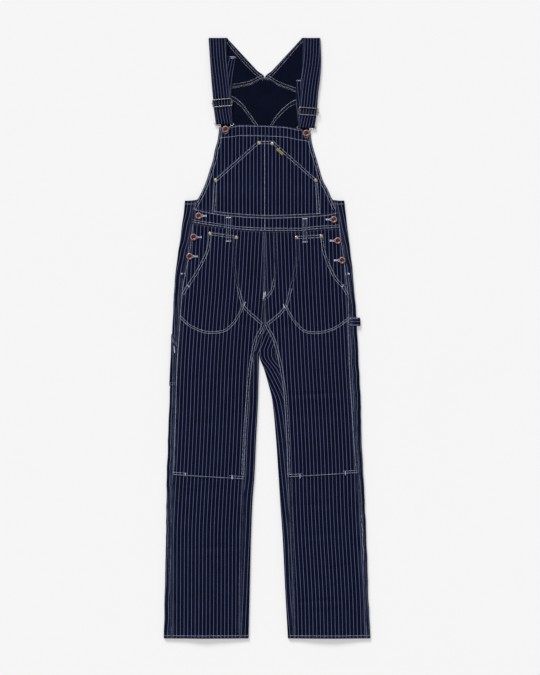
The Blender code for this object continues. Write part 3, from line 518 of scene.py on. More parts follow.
class Nodes:
    """The nodes of one material or geometry tree."""

    def __init__(self, tree: bpy.types.NodeTree) -> None:
        """Holds the tree that nodes are added to."""
        self.tree = tree

    def add(self, kind: str, settings: dict[str, Any] | None = None, **sockets: Any) -> Any:
        """Makes one node: its type and settings first, and then its sockets.

        Args:
            kind: the node's type.
            settings: the node's own properties.
            **sockets: values, Nodes or whole nodes for its inputs, by name with _ for a space, or iN
                for the Nth.

        Returns:
            The new node.
        """
        node = self.tree.nodes.new(kind)
        for name, value in (settings or {}).items():
            setattr(node, name, value)
        for name, value in sockets.items():
            number = name[1:] if name[0] == "i" and name[1:].isdigit() else ""
            socket = node.inputs[int(number)] if number else node.inputs[name.replace("_", " ")]
            if isinstance(value, bpy.types.Node):
                value = self.out(value)
            if isinstance(value, Node):
                self.tree.links.new(value.socket, socket)
            else:
                socket.default_value = value
        return node

    def out(self, node: Any, name: str | int = 0) -> Node:
        """One output of a node, ready for arithmetic."""
        return Node(self.tree, node.outputs[name])

    def maths(self, operation: str, *values: Any) -> Node:
        """A Math node on up to three values."""
        inputs = {f"i{k}": value for k, value in enumerate(values)}
        return self.out(self.add("ShaderNodeMath", {"operation": operation}, **inputs))

    def where(self, kind: str) -> Node:
        """A place on the piece, in one kind of coordinates."""
        return self.out(self.add("ShaderNodeTexCoord"), kind)

    def bump(self, strength: float, distance: float, height: Node) -> Node:
        """The normal that a height gives."""
        return self.out(self.add("ShaderNodeBump", Strength=strength, Distance=distance, Height=height))

    def blend(self, share: Any, first: Any, second: Any, blend_type: str = "MIX") -> Node:
        """A colour a share of the way from the first to the second."""
        settings = {"data_type": "RGBA", "blend_type": blend_type}
        return self.out(self.add("ShaderNodeMix", settings, i0=share, i6=first, i7=second), 2)

    def noise(self, where: Any, scale: float, detail: float = 2.0, rough: float = 0.5) -> Node:
        """Fractal noise from 0 to 1 at a place."""
        made = self.add("ShaderNodeTexNoise", Vector=where, Scale=scale, Detail=detail, Roughness=rough)
        return self.out(made, "Fac")

    def between(self, value: Node, low: float, high: float) -> Node:
        """A smooth share from 0 to 1 as a value passes from low to high."""
        settings = {"interpolation_type": "SMOOTHSTEP"}
        return self.out(self.add("ShaderNodeMapRange", settings, Value=value, i1=low, i2=high))


Colour = tuple[float, float, float, float]


@dataclass(frozen=True)
class Finish:
    """What every finish has: its name, and a shader with the values that don't vary."""

    name: str
    roughness: float = 0.8
    metallic: float = 0.0
    sheen: float = 0.0
    specular: float = 0.5
    glow: float = 0.0

    def vary(self, nodes: Nodes) -> dict[str, Node]:
        """What varies over the piece, by the shader's socket."""
        raise NotImplementedError

    def build(self) -> Material:
        """Makes the material: the shader's plain values, and then what varies."""
        material = bpy.data.materials.new(self.name)
        material.use_nodes = True
        shader = material.node_tree.nodes["Principled BSDF"]
        plain = {"Roughness": self.roughness, "Metallic": self.metallic, "Specular IOR Level": self.specular,
            "Sheen Weight": self.sheen, "Sheen Roughness": 0.5, "Emission Strength": self.glow}
        for name, value in plain.items():
            shader.inputs[name].default_value = value
        for name, source in self.vary(Nodes(material.node_tree)).items():
            material.node_tree.links.new(source.socket, shader.inputs[name])
        return material


@dataclass(frozen=True)
class Denim(Finish):
    """Indigo twill with or without its thin light stripes, which run along its second coordinate."""

    dark: Colour = (0.0014, 0.0024, 0.0130, 1.0)
    light: Colour = (0.0036, 0.0054, 0.0230, 1.0)
    stripe: Colour = (0.205, 0.232, 0.405, 1.0)
    worn: Colour = (0.050, 0.058, 0.105, 1.0)
    pitch: float = 9.4
    stripe_width: float = 0.76
    striped: bool = True

    def vary(self, nodes: Nodes) -> dict[str, Node]:
        """The cloth: stripe, twill, slubs, and an uneven tone."""
        place = nodes.where("UV")
        solid = nodes.where("Object")
        split = nodes.add("ShaderNodeSeparateXYZ", Vector=place)
        across, along = nodes.out(split, 0) * 1000.0, nodes.out(split, 1) * 1000.0

        drift = nodes.noise(solid, 26.0, 3.0)
        speckle = nodes.noise(place, 1500.0, 3.0, 0.7)
        streaks = nodes.add("ShaderNodeCombineXYZ", X=across * 1.3, Y=along * 0.045)
        slub = nodes.noise(streaks, 1.0, 3.0, 0.6)
        tone = nodes.between(drift * 0.5 + slub * 0.55 + speckle * 0.35, 0.45, 0.95)
        cloth = nodes.blend(tone, self.dark, self.light)
        rubbed = nodes.out(nodes.add("ShaderNodeAttribute", {"attribute_name": "wear"}), "Fac")
        patchy = nodes.between(speckle * 0.6 + slub * 0.6, 0.4, 0.8)
        cloth = nodes.blend(rubbed * (patchy * 0.7 + 0.3), cloth, self.worn)

        twill = nodes.maths("SINE", (across + along) * (2 * math.pi / 0.85))
        height = twill * 0.5 + speckle
        colour = cloth
        if self.striped:
            wander = (nodes.noise(streaks, 0.6, 1.0) - 0.5) * 0.35
            phase = nodes.maths("FRACT", (across + wander) / self.pitch)
            off = nodes.maths("ABSOLUTE", phase - 0.5) * self.pitch
            half = self.stripe_width / 2
            line = 1.0 - nodes.between(off, half - 0.28, half + 0.28)
            weft = nodes.between(nodes.noise(place, 2300.0, 2.0, 0.6), 0.25, 0.62)
            strength = line * (weft * 0.45 + 0.55) * (slub * 0.4 + 0.76)
            colour = nodes.blend(strength, cloth, self.stripe)
            height = height + line * 0.6
        bump = nodes.bump(0.35, 0.00025, height)
        rough = nodes.between(speckle + drift, 0.3, 1.6) * 0.12 + (self.roughness - 0.06)
        return {"Base Color": colour, "Normal": bump, "Roughness": rough}


@dataclass(frozen=True)
class Thread(Finish):
    """Twisted cotton sewing thread, a little uneven in tone from stitch to stitch."""

    pale: Colour = (0.78, 0.83, 1.0, 1.0)
    soiled: Colour = (0.48, 0.53, 0.72, 1.0)

    def vary(self, nodes: Nodes) -> dict[str, Node]:
        """The thread: its tone by place, and its twist as fine ribs."""
        solid = nodes.where("Object")
        tone = nodes.between(nodes.noise(solid, 120.0, 2.0), 0.35, 0.75)
        colour = nodes.blend(tone, self.pale, self.soiled)
        ribs = nodes.noise(solid, 5200.0, 1.0)
        return {"Base Color": colour, "Normal": nodes.bump(0.5, 0.0001, ribs)}


@dataclass(frozen=True)
class Metal(Finish):
    """A plated metal, brighter where it is rubbed and darker where it has dulled."""

    bright: Colour = (0.6, 0.6, 0.6, 1.0)
    dull: Colour = (0.2, 0.2, 0.2, 1.0)
    grain: float = 420.0

    def vary(self, nodes: Nodes) -> dict[str, Node]:
        """The metal: patches of tarnish, fine scratches, and roughness that follows them."""
        solid = nodes.where("Object")
        tarnish = nodes.between(nodes.noise(solid, self.grain, 4.0, 0.6), 0.35, 0.68)
        colour = nodes.blend(tarnish, self.bright, self.dull)
        rough = tarnish * 0.22 + (self.roughness - 0.1)
        scratches = nodes.noise(solid, 2600.0, 2.0)
        return {"Base Color": colour, "Roughness": rough, "Normal": nodes.bump(0.2, 0.0001, scratches)}


@dataclass(frozen=True)
class WovenTab(Finish):
    """The tab's olive ribbon, with its fine crosswise ribs."""

    thread: Colour = (0.38, 0.31, 0.085, 1.0)
    # The colour of the weave's hollows: painted shade
    shade: Colour = (0.13, 0.105, 0.03, 1.0)

    def vary(self, nodes: Nodes) -> dict[str, Node]:
        """The ribbon, from two crossing sets of ribs, with painted shade in the hollows between them."""
        place = nodes.where("UV")
        split = nodes.add("ShaderNodeSeparateXYZ", Vector=place)
        ribs = nodes.maths("SINE", nodes.out(split, 0) * (2 * math.pi / 0.0007))
        picks = nodes.maths("SINE", nodes.out(split, 1) * (2 * math.pi / 0.0009))
        height = ribs * 0.5 + picks * 0.5
        # Darker where the ribs are low: painted shade in the weave's hollows
        share = nodes.between(height + nodes.noise(place, 900.0, 2.0), -0.2, 1.4)
        bump = nodes.bump(0.6, 0.0002, height)
        colour = nodes.blend(share, self.shade, self.thread)
        return {"Base Color": colour, "Normal": bump}


@dataclass(frozen=True)
class PaleFloor(Finish):
    """The plain pale surface that the garment lies on, lit a little from beneath."""

    paint: Colour = (0.60, 0.60, 0.60, 1.0)

    def vary(self, nodes: Nodes) -> dict[str, Node]:
        """The surface, with the faintest unevenness."""
        solid = nodes.where("Object")
        shade = tuple(value * 0.985 for value in self.paint[:3]) + (1.0,)
        cloud = nodes.noise(solid, 3.0, 2.0)
        return {"Base Color": nodes.blend(cloud, self.paint, shade)}


@cache
def dressed(finish: Finish) -> Material:
    """The material of a finish, made when it is first asked for."""
    return finish.build()


class Cover(Enum):
    """Every finish of the garment."""

    STRIPED = Denim("striped_denim", 0.86, specular=0.05)
    # The wrong side of the denim has no stripes
    INSIDE = replace(STRIPED, name="denim_inside", roughness=0.9, specular=0.04, striped=False,
        dark=(0.0018, 0.0032, 0.0110, 1.0), light=(0.0042, 0.0064, 0.0190, 1.0))
    THREAD = Thread("white_thread", 0.7, sheen=0.2)
    # The same thread where the cloth has closed over it
    SUNK_THREAD = Thread("sunk_thread", 0.8, pale=(0.17, 0.19, 0.26, 1.0), soiled=(0.03, 0.035, 0.06, 1.0))
    COPPER = Metal("button_copper", 0.36, 1.0, bright=(0.19, 0.060, 0.055, 1.0), dull=(0.030, 0.010, 0.010, 1.0))
    # The button's rolled rim, paler than the copper plate: a painted highlight on the rim
    COPPER_RIM = Metal("button_rim", 0.35, 0.3, bright=(0.42, 0.29, 0.31, 1.0), dull=(0.17, 0.085, 0.09, 1.0))
    BRASS = Metal("rivet_brass", 0.34, 1.0, bright=(0.78, 0.74, 0.47, 1.0), dull=(0.26, 0.23, 0.12, 1.0))
    STEEL = Metal("hook_steel", 0.32, 1.0, bright=(0.46, 0.45, 0.42, 1.0), dull=(0.08, 0.075, 0.07, 1.0))
    TAB = WovenTab("tab_weave", 0.75, sheen=0.3)
    FLOOR = PaleFloor("pale_floor", 0.95, glow=0.355)

    @property
    def material(self) -> Material:
        """The finish as a material."""
        return dressed(self.value)


STRIPED, INSIDE = 0, 1


class Ply:
    """One piece of cloth: rows of places on its outer face, made into a closed thin shell."""

    def __init__(self, name: str, thickness: float = CLOTH, flip: bool = False) -> None:
        """Starts an empty piece.

        Args:
            name: the piece's name.
            thickness: the wall, in millimetres.
            flip: whether the rows run the other way round, so that the face would point inwards.
        """
        self.name = name
        self.thickness = thickness
        self.flip = flip
        self.rows: list[list[Point]] = []
        self.stripes: list[list[Place]] = []
        self.absent: set[Place] = set()
        self.striped_inside: Callable[[int, int], bool] = lambda i, j: False
        self.rolls: tuple[bool, bool, bool, bool] = (True, True, True, True)
        self.lies_flat = False
        self.seams: Callable[[float, float, float], float] | None = None
        self.mark: Callable[[float, float], Place] = lambda x, y: (x, y)

    def add(self, row: Sequence[Point], stripes: Sequence[Place] = ()) -> None:
        """Adds one row of places, with the stripe coordinates of each where they aren't the mark's."""
        self.rows.append(list(row))
        self.stripes.append(list(stripes) or [self.mark(x, y) for x, y, _ in row])

    def rims(self, k: int) -> list[Any]:
        """The grid's lines of points that are k in from each turned edge."""
        lines = np.s_[k, :], np.s_[-1 - k, :], np.s_[:, k], np.s_[:, -1 - k]
        return [line for line, used in zip(lines, self.rolls) if used]

    def turned_edge(self, shape: tuple[int, int]) -> np.ndarray:
        """How far the outer face is let down or raised near each edge of the grid."""
        lift = (-0.5, -0.08, 0.22, 0.16)
        rise = np.zeros(shape)
        for k, amount in enumerate(lift):
            for line in self.rims(k):
                rise[line] = np.minimum(rise[line], amount) if k < 2 else np.maximum(rise[line], amount)
        for k, amount in enumerate(lift[:2]):
            for line in self.rims(k):
                rise[line] = np.minimum(rise[line], amount)
        return rise

    def rubbing(self, outer: np.ndarray) -> np.ndarray:
        """How worn the cloth is at each place: by its turned edges, and beside the seams."""
        wear = np.zeros(outer.shape[:2])
        for k, amount in enumerate((0.9, 0.45, 0.15)):
            for line in self.rims(k):
                wear[line] = np.maximum(wear[line], amount)
        if self.seams is not None:
            beside = [[self.seams(x, y, z) for x, y, z in row] for row in outer]
            wear = np.maximum(wear, np.array(beside))
        return np.clip(wear, 0.0, 1.0)

    def build(self) -> Piece:
        """Makes the shell: the outer grid, the inner one a wall beneath it, and the rim between."""
        outer = np.array(self.rows)
        count_i, count_j = outer.shape[:2]
        cells = [(i, j) for i in range(count_i - 1) for j in range(count_j - 1) if (i, j) not in self.absent]
        index = np.arange(count_i * count_j).reshape(count_i, count_j)
        quads = np.array([(index[i, j], index[i, j + 1], index[i + 1, j + 1], index[i + 1, j]) for i, j in cells])
        if self.flip:
            quads = quads[:, ::-1]
        flat = outer.reshape(-1, 3)
        diagonals = flat[quads[:, 2]] - flat[quads[:, 0]], flat[quads[:, 3]] - flat[quads[:, 1]]
        face_normals = np.cross(*diagonals)
        normals = np.zeros_like(flat)
        for corner in range(4):
            np.add.at(normals, quads[:, corner], face_normals)
        normals /= np.maximum(np.linalg.norm(normals, axis=1, keepdims=True), 1e-9)
        inner = flat - normals * self.thickness
        shown = flat + normals * self.turned_edge((count_i, count_j)).reshape(-1, 1)

        edges = np.concatenate([quads[:, [k, (k + 1) % 4]] for k in range(4)])
        twins = {(int(b), int(a)) for a, b in edges}
        rim = np.array([(a, b) for a, b in edges.tolist() if (a, b) not in twins])
        total = len(flat)
        faces = np.concatenate([quads, quads[:, ::-1] + total,
                np.stack([rim[:, 1], rim[:, 0], rim[:, 0] + total, rim[:, 1] + total], 1)])
        inner_slots = [STRIPED if self.striped_inside(i, j) else INSIDE for i, j in cells]
        slots = [STRIPED] * len(quads) + inner_slots + [STRIPED] * len(rim)
        marks = np.array(self.stripes).reshape(-1, 2)
        marks = np.concatenate([marks, marks]) * MM
        points = np.concatenate([shown, inner]) * MM

        used, small = np.unique(faces, return_inverse=True)
        faces = small.reshape(faces.shape)
        mesh = bpy.data.meshes.new(self.name)
        mesh.from_pydata(points[used].tolist(), [], faces.tolist())
        mesh.materials.append(Cover.STRIPED.material)
        mesh.materials.append(Cover.INSIDE.material)
        mesh.polygons.foreach_set("material_index", slots)
        layer = mesh.uv_layers.new(name="stripes")
        layer.data.foreach_set("uv", marks[used][faces.reshape(-1)].reshape(-1))
        wear = self.rubbing(outer).reshape(-1)
        rubbed = mesh.attributes.new("wear", "FLOAT", "POINT")
        rubbed.data.foreach_set("value", np.concatenate([wear, wear * 0.5])[used].astype(np.float32))
        mesh.shade_smooth()
        mesh.validate()
        self.measure(outer, cells)
        return placed(self.name, mesh)

    def measure(self, outer: np.ndarray, cells: list[Place]) -> None:
        """Takes the cut: its widest row, its longest column and its area, in metres."""
        across = np.linalg.norm(np.diff(outer, axis=1), axis=2)
        down = np.linalg.norm(np.diff(outer, axis=0), axis=2)
        self.width = float(across.sum(axis=1).max()) * MM
        self.length = float(down.sum(axis=0).max()) * MM
        area = 0.0
        for i, j in cells:
            first, last = outer[i + 1, j + 1] - outer[i, j], outer[i + 1, j] - outer[i, j + 1]
            area += float(np.linalg.norm(np.cross(first, last))) / 2
        self.area = area * MM * MM
        if self.lies_flat:
            self.width, self.length = (float(side) * MM for side in np.ptp(outer[..., :2], axis=(0, 1)))

    def lay(self, rests_on: Sequence[str] = (), nodes: Sequence[str] = ()) -> Piece:
        """Args:
            rests_on: what lies under it; not used.
            nodes: the solids it stands for, where they aren't named as it is.

        Returns:
            The finished piece.
        """
        piece = self.build()
        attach(piece, "root")
        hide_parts(*(nodes or [self.name.replace("_cloth", "")]))
        area = min(self.area, self.width * self.length)
        LOG.info("%s: %.0f x %.0f mm cut", self.name, self.width / MM, self.length / MM)
        return piece


def stations(low: float, high: float, step: float) -> list[float]:
    """Places along the garment from low to high, about a step apart, closer by both ends."""
    return [mix(low, high, share) for share in graded(high - low, step)]


@dataclass
class TrouserHalf:
    """One half of the trousers: its front, its back, the doubled thigh, and the strip at the side."""

    side: Side
    step: float = 4.4
    row_step: float = 4.6
    fold_steps: int = 8
    fold_width: float = 16.0
    under_columns: int = 42
    tongue_columns: int = 5
    front_width: float = 196.0
    patch_width: float = 188.0
    patch_ease: float = 40.0
    slanting_from: float = 225.0
    pinch_length: float = 14.0
    tongue_top: float = 31.0
    placket_width: float = 24.0
    placket_clear: float = 4.0
    placket_columns: int = 8
    patch_top: dict[str, Place] = both((272, 261), (265, 261))
    knee: dict[str, Place] = both((-350, -361), (-345, -356))

    def mark(self, x: float, y: float) -> Place:
        """The stripe coordinates of a place on the front."""
        return x - self.side.grain(y), y

    def seam_wear(self, x: float, y: float, z: float) -> float:
        """How worn the cloth is beside the leg's two felled seams and along its hem."""
        if z < 2:
            return 0.0
        side = self.side
        blotch = 0.55 + 0.9 * noise.noise(Vector((x / 9, y / 24, 3.3)))
        outseam = 0.75 * bell(abs(x - side.outseam(y)), 7.0)
        inseam = 0.45 * bell(abs(x - side.inseam(y)), 6.0)
        hem = 0.5 * bell(y - HEM_Y, 6.0)
        return max(0.0, max(outseam, inseam, hem) * blotch)

    def ply(self, name: str, flip: bool) -> Ply:
        """An empty piece of this half, whose stripes lean with the leg."""
        ply = Ply(f"{name}_{self.side.name}_cloth", flip=flip)
        ply.seams, ply.mark = self.seam_wear, self.mark
        return ply

    def front(self) -> Piece:
        """The trouser front, from the hem to the waistband."""
        side = self.side
        ply = self.ply("trouser_front", side is LEFT)
        shares = graded(self.front_width, self.step)
        foot = along_edge(BAND_FOOT, side, shares)
        rows: list[Path] = []
        levels = stations(HEM_Y, FORK_Y, self.row_step)
        for y in levels + stations(FORK_Y, self.slanting_from, self.row_step)[1:]:
            start = side.outseam(y) - side.out * HALF_GAP
            end = side.inseam(y) + side.out * HALF_GAP
            rows.append([(mix(start, end, share), y) for share in shares])
        last = rows[-1]
        for share in graded(50, self.row_step)[1:]:
            ends = zip(last, foot)
            rows.append([(mix(a, b, share), mix(low, high - GAP, share)) for (a, low), (b, high) in ends])
        for row in rows:
            ply.add([(x, y, FORM.front(side, x, y)) for x, y in row])
        return ply.lay([f"trouser_back_{side.name}"])

    def over_fold(self, y: float) -> list[Point]:
        """Places from the back's edge on top, over the side fold, to the tangent beneath."""
        side = self.side
        fold = side.fold(y)
        low = side.floor(fold, y)
        turn = fold_arc(fold - side.out * (FOLD_HEIGHT - low) / 2, low, FOLD_HEIGHT, side.out, self.fold_steps)
        edge = side.back_edge(y)
        xs = [mix(edge, turn[0][0], share) for share in graded(self.fold_width, 5.0, (1.2, 3.0, 5.0))]
        return FORM.row(side, xs, y) + [(x, y, z) for x, z in turn[1:]]

    def back(self) -> Piece:
        """The back panel: over the side fold, flat beneath, up between the legs, and to the yoke."""
        side, out = self.side, self.side.out
        ply = self.ply("trouser_back", side is RIGHT)
        ply.rolls = (True, True, True, False)
        over = len(self.over_fold(0.0)) - self.fold_steps - 1
        turned = over + self.fold_steps
        turn_in = turned + self.under_columns
        rise = turn_in + self.fold_steps
        columns = rise + self.tongue_columns + 1
        rows: list[list[Point]] = []
        seam = CENTRE_X + out * HALF_GAP

        def beneath(start: float, stop: float, y: float) -> list[Point]:
            """Places along the underside."""
            return [(x, y, FORM.under(side, x, y)) for x in spread(start, stop, self.under_columns)[1:]]

        levels = stations(HEM_Y, FORK_Y, self.row_step)
        for y in levels + stations(FORK_Y, self.tongue_top, self.row_step)[1:]:
            row = self.over_fold(y)
            pinch = smoothstep(FORK_Y, FORK_Y + self.pinch_length, y)
            stop = side.inner(y) + out * mix(FOLD_RADIUS, HALF_GAP, pinch)
            row += beneath(row[-1][0], stop, y)
            top = FORM.skin(side, stop, y) if y > FORK_Y else FOLD_HEIGHT
            turn = fold_arc(stop, 0.0, top, -out, self.fold_steps)[::-1]
            row += [(mix(x, stop, pinch), y, z) for x, z in turn[1:]]
            end = side.inseam(y) - out * HALF_GAP
            row += FORM.row(side, spread(stop, end, self.tongue_columns)[1:], y)
            rows.append(row)
        body = len(rows) - 1
        for y in stations(self.tongue_top, WING_TOP_Y, self.row_step)[1:]:
            row = self.over_fold(y)
            row += beneath(row[-1][0], seam, y)
            rows.append(row + [row[-1]] * (columns - len(row)))
        wing = len(rows) - 1
        parts = spread(0, 1, self.under_columns)
        tips = yoke_line(side, parts)
        foot = across(YOKE_FOOT)
        for share in [0.003, 0.008, 0.013, *spread(0.022, 1.0, 58)]:
            row = [rows[wing][turned]] * turned
            for part, tip in zip(parts, tips):
                y = mix(WING_TOP_Y, foot(tip) - GAP, share)
                x = mix(side.back_rim(y), seam, part)
                x = mix(x, tip, smoothstep(0.8, 1.0, share))
                row.append((x, y, FORM.lifted(x, y)))
            rows.append(row + [row[-1]] * (columns - len(row)))
        for i in range(body, len(rows) - 1):
            ply.absent |= {(i, j) for j in range(turn_in, columns - 1)}
        for i in range(wing, len(rows) - 1):
            ply.absent |= {(i, j) for j in range(turned)}
        for row in rows:
            steps = np.linalg.norm(np.diff(np.array(row)[:, [0, 2]], axis=0), axis=1)
            run = np.concatenate([[0.0], np.cumsum(steps)])
            base = row[turned][0]
            ply.add(row, [(base - out * (s - run[turned]) - side.grain(y), y) for (_, y, _), s in zip(row, run)])
        return ply.lay(["the surface"], [f"trouser_back_{side.name}"])

    def placket(self) -> Piece:
        """The strip under the side opening, which the buttons are sewn to."""
        side = self.side
        ply = self.ply("side_underlap", side is LEFT)
        ply.seams = None
        for y in stations(SIDE_OPENING_Y + self.placket_clear, WING_TOP_Y, self.row_step):
            start = side.back_edge(y) - side.out * GAP
            end = side.outseam(y) - side.out * self.placket_width
            ply.add(FORM.row(side, spread(start, end, self.placket_columns), y))
        return ply.lay([f"trouser_back_{side.name}"])

    def patch_ends(self, y: float) -> Place:
        """Both edges of the doubled thigh at one level."""
        side = self.side
        start = side.outseam(y) - side.out * HALF_GAP
        end = side.inseam(y) + side.out * HALF_GAP
        if y > POCKET_OPENING[0].y:
            start = side.opening(y)
        if y > CROTCH_Y:
            end = side.fly(y)
        return start, end

    def doubled_thigh(self) -> Piece:
        """The patch from the hand pocket to the knee, lying on the trouser front."""
        side = self.side
        ply = self.ply("double_front", side is LEFT)
        shares = graded(self.patch_width, self.step)
        low, top = self.knee[side.name], self.patch_top[side.name]
        middle = sum(low) / 2, sum(top) / 2
        for level in [mix(*middle, share) for share in graded(middle[1] - middle[0], self.row_step)]:
            row = []
            for share in shares:
                near_low = 1 - smoothstep(middle[0], middle[0] + self.patch_ease, level)
                near_top = smoothstep(middle[1] - self.patch_ease, middle[1], level)
                y = level + near_low * (mix(*low, share) - middle[0])
                y += near_top * (mix(*top, share) - middle[1])
                x = mix(*self.patch_ends(level), share)
                row.append((x, y, FORM.front(side, x, y) + PATCH_LAP))
            ply.add(row)
        return ply.lay([f"trouser_front_{side.name}"])

    def make(self) -> list[Piece]:
        """Makes the half's four pieces."""
        return [self.back(), self.front(), self.placket(), self.doubled_thigh()]


@dataclass
class Waistband:
    """The doubled band round the front of the waist, and the two narrow loops over it."""

    step: float = 4.4
    half_width: float = 185.0
    height: float = 38.0
    loop_width: float = 14.0
    loop_cloth: float = 1.6
    loops: dict[str, Point] = both((-98, 308, 245), (96.5, 305, 243))

    def edge(self, table: Sequence[NamedTuple]) -> Path:
        """One edge of the band, from one side of the garment to the other."""
        shares = graded(self.half_width, self.step)[:-3]
        shares += spread(shares[-1], 1.0, 2)[1:]
        return along_edge(table, RIGHT, shares) + along_edge(table, LEFT, shares)[::-1]

    def band(self) -> Piece:
        """The band itself, two cloths thick."""
        ply = Ply("waistband_cloth", thickness=2 * CLOTH)
        foot, top = self.edge(BAND_FOOT), self.edge(BAND_TOP)
        for share in graded(self.height, 3.5):
            row = []
            for low, high in zip(foot, top):
                x, y = mix(low[0], high[0], share), mix(low[1], high[1], share)
                row.append((x, y, FORM.top(x, y) + CLOTH))
            ply.add(row)
        return ply.lay(["trouser_front_right", "trouser_front_left"])

    def loop(self, side: Side) -> Piece:
        """One narrow loop, which bulges a little where the thick band is under it."""
        x, top, foot = self.loops[side.name]
        ply = Ply(f"belt_loop_{side.name}_cloth", thickness=self.loop_cloth)
        lap = LAP + GAP + self.loop_cloth
        for y in stations(foot, top, 3.0):
            row = []
            for at in spread(x - self.loop_width / 2, x + self.loop_width / 2, 10):
                belly = 0.5 * math.sin(math.pi * (y - foot) / (top - foot))
                row.append((at, y, FORM.top(at, y) + lap + belly))
            ply.add(row, [(at - x + 4.7, y) for at, y, _ in row])
        return ply.lay(["waistband"])

    def make(self) -> list[Piece]:
        """Makes the band and its loops."""
        return [self.band(), self.loop(RIGHT), self.loop(LEFT)]


@dataclass
class Bib:
    """The bib, its pocket with two slanting sides, and the tab sewn into one of them."""

    step: float = 4.4
    width: float = 290.0
    height: float = 230.0
    flare_share: float = 0.12
    pocket_width: float = 270.0
    corner_share: float = 0.45
    pocket_drift: float = 1.2
    tab_at: Point = (33, 474.5, -41)
    tab_size: Point = (22.0, 7.0, 1.2)

    def panel(self) -> Piece:
        """The bib itself."""
        ply = Ply("bib_cloth")
        shares = graded(self.width, self.step)
        foot, top = across(BAND_TOP), across(BIB_TOP)
        low_ends = RIGHT.outseam(BAND_TOP[0].y), LEFT.outseam(BAND_TOP[-1].y)
        for level in graded(self.height, self.step):
            row = []
            for share in shares:
                low_x, top_x = mix(*low_ends, share), mix(BIB_TOP[0].x, BIB_TOP[-1].x, share)
                y = mix(foot(low_x) + GAP, top(top_x), level)
                ends = RIGHT.bib_edge(y), LEFT.bib_edge(y)
                x = mix(*ends, share)
                if level < self.flare_share:
                    x = mix(low_x, x, smoothstep(0.0, self.flare_share, level))
                row.append((x, y, FORM.top(x, y)))
            ply.add(row)
        return ply.lay(["waistband", "back_yoke"])

    @staticmethod
    def slant(side: Side, y: float) -> float:
        """The pocket's side at a level: straight lines between its corners."""
        for low, high in zip(BIB_POCKET_ROWS, BIB_POCKET_ROWS[1:]):
            if y <= high.y:
                share = max(0.0, (y - low.y) / (high.y - low.y))
                return mix(getattr(low, side.name), getattr(high, side.name), share)
        return getattr(BIB_POCKET_ROWS[-1], side.name)

    def pocket(self) -> Piece:
        """The bib's pocket."""
        ply = Ply("bib_pocket_cloth")
        shares = graded(self.pocket_width, self.step)
        foot = across(BAND_TOP)
        low_ends = tuple(self.slant(side, BIB_POCKET_ROWS[0].y) for side in SIDES)
        corner = BIB_POCKET_ROWS[-2].y
        top = BIB_POCKET_ROWS[-1].y
        corner_at = self.corner_share
        levels = [mix(0, corner_at, s) for s in graded(85, self.step)]
        levels += [mix(corner_at, 1, s) for s in graded(100, self.step)][1:]
        for level in levels:
            row = []
            for share in shares:
                low_y = foot(mix(*low_ends, share)) + 3 * GAP
                if level < corner_at:
                    y = mix(low_y, corner, level / corner_at)
                else:
                    y = mix(corner, top, (level - corner_at) / (1 - corner_at))
                x = mix(self.slant(RIGHT, y), self.slant(LEFT, y), share)
                row.append((x, y, FORM.top(x, y) + POCKET_LAP))
            ply.add(row, [(x + self.pocket_drift, y) for x, y, _ in row])
        return ply.lay(["bib"])

    def tab(self) -> Piece:
        """The small folded tab, with its loop's round edge outermost."""
        x, y, angle = self.tab_at
        length, width, height = self.tab_size
        turn = math.radians(angle)
        form = bmesh.new()
        layer = form.loops.layers.uv.new("weave")
        rise = FORM.top(x, y) + LAP + 2 * GAP
        ring = [(-width / 2 + 0.3, height), (width / 2 - 0.6, height + 0.15), (width / 2 - 0.1, height * 0.75),
            (width / 2, height / 2), (width / 2 - 0.1, height * 0.25), (width / 2 - 0.6, 0.0),
            (-width / 2 + 0.3, 0.0), (-width / 2, height / 2)]
        sections = []
        for along in spread(-length / 2, length / 2, 16):
            section = []
            for across, up in ring:
                sag = 0.2 * math.sin(along / 5.0)
                place = Vector((along, across, 0)) @ Euler((0, 0, -turn)).to_matrix()
                section.append(form.verts.new(((x + place.x) * MM, (y + place.y) * MM, (rise + up + sag) * MM)))
            sections.append(section)
        for first, last in zip(sections, sections[1:]):
            for k in range(len(ring)):
                n = (k + 1) % len(ring)
                form.faces.new([first[k], first[n], last[n], last[k]])
        form.faces.new(sections[0][::-1])
        form.faces.new(sections[-1])
        for face in form.faces:
            for loop in face.loops:
                loop[layer].uv = (loop.vert.co.x, loop.vert.co.y)
        mesh = meshed(form, "pocket_tab_ribbon", Cover.TAB)
        return settle("pocket_tab_ribbon", mesh, "tab_weave", ["pocket_tab"])

    def make(self) -> list[Piece]:
        """Makes the bib, its pocket and its tab."""
        return [self.panel(), self.pocket(), self.tab()]


def placed(name: str, data: Any) -> Piece:
    """A new object of the scene, round its data."""
    thing = bpy.data.objects.new(name, data)
    bpy.context.scene.collection.objects.link(thing)
    return thing


def meshed(form: bmesh.types.BMesh, name: str, *covers: Cover) -> bpy.types.Mesh:
    """A smooth mesh from a closed form, facing outwards, with its finishes."""
    bmesh.ops.recalc_face_normals(form, faces=form.faces)
    mesh = bpy.data.meshes.new(name)
    form.to_mesh(mesh)
    form.free()
    for cover in covers:
        mesh.materials.append(cover.material)
    mesh.shade_smooth()
    return mesh


def settle(name: str, mesh: bpy.types.Mesh, slot: str, nodes: Sequence[str] = ()) -> Piece:
    """Links a finished mesh, and says what it rides on and stands for.

    Args:
        name: the piece's name.
        mesh: its mesh, with its material.
        slot: the material slot it takes its finish from; not used.
        nodes: the solids it stands for.

    Returns:
        The finished piece.
    """
    piece = placed(name, mesh)
    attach(piece, "root")
    if nodes:
        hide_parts(*nodes)
    LOG.info("%s: %d faces", name, len(mesh.polygons))
    return piece


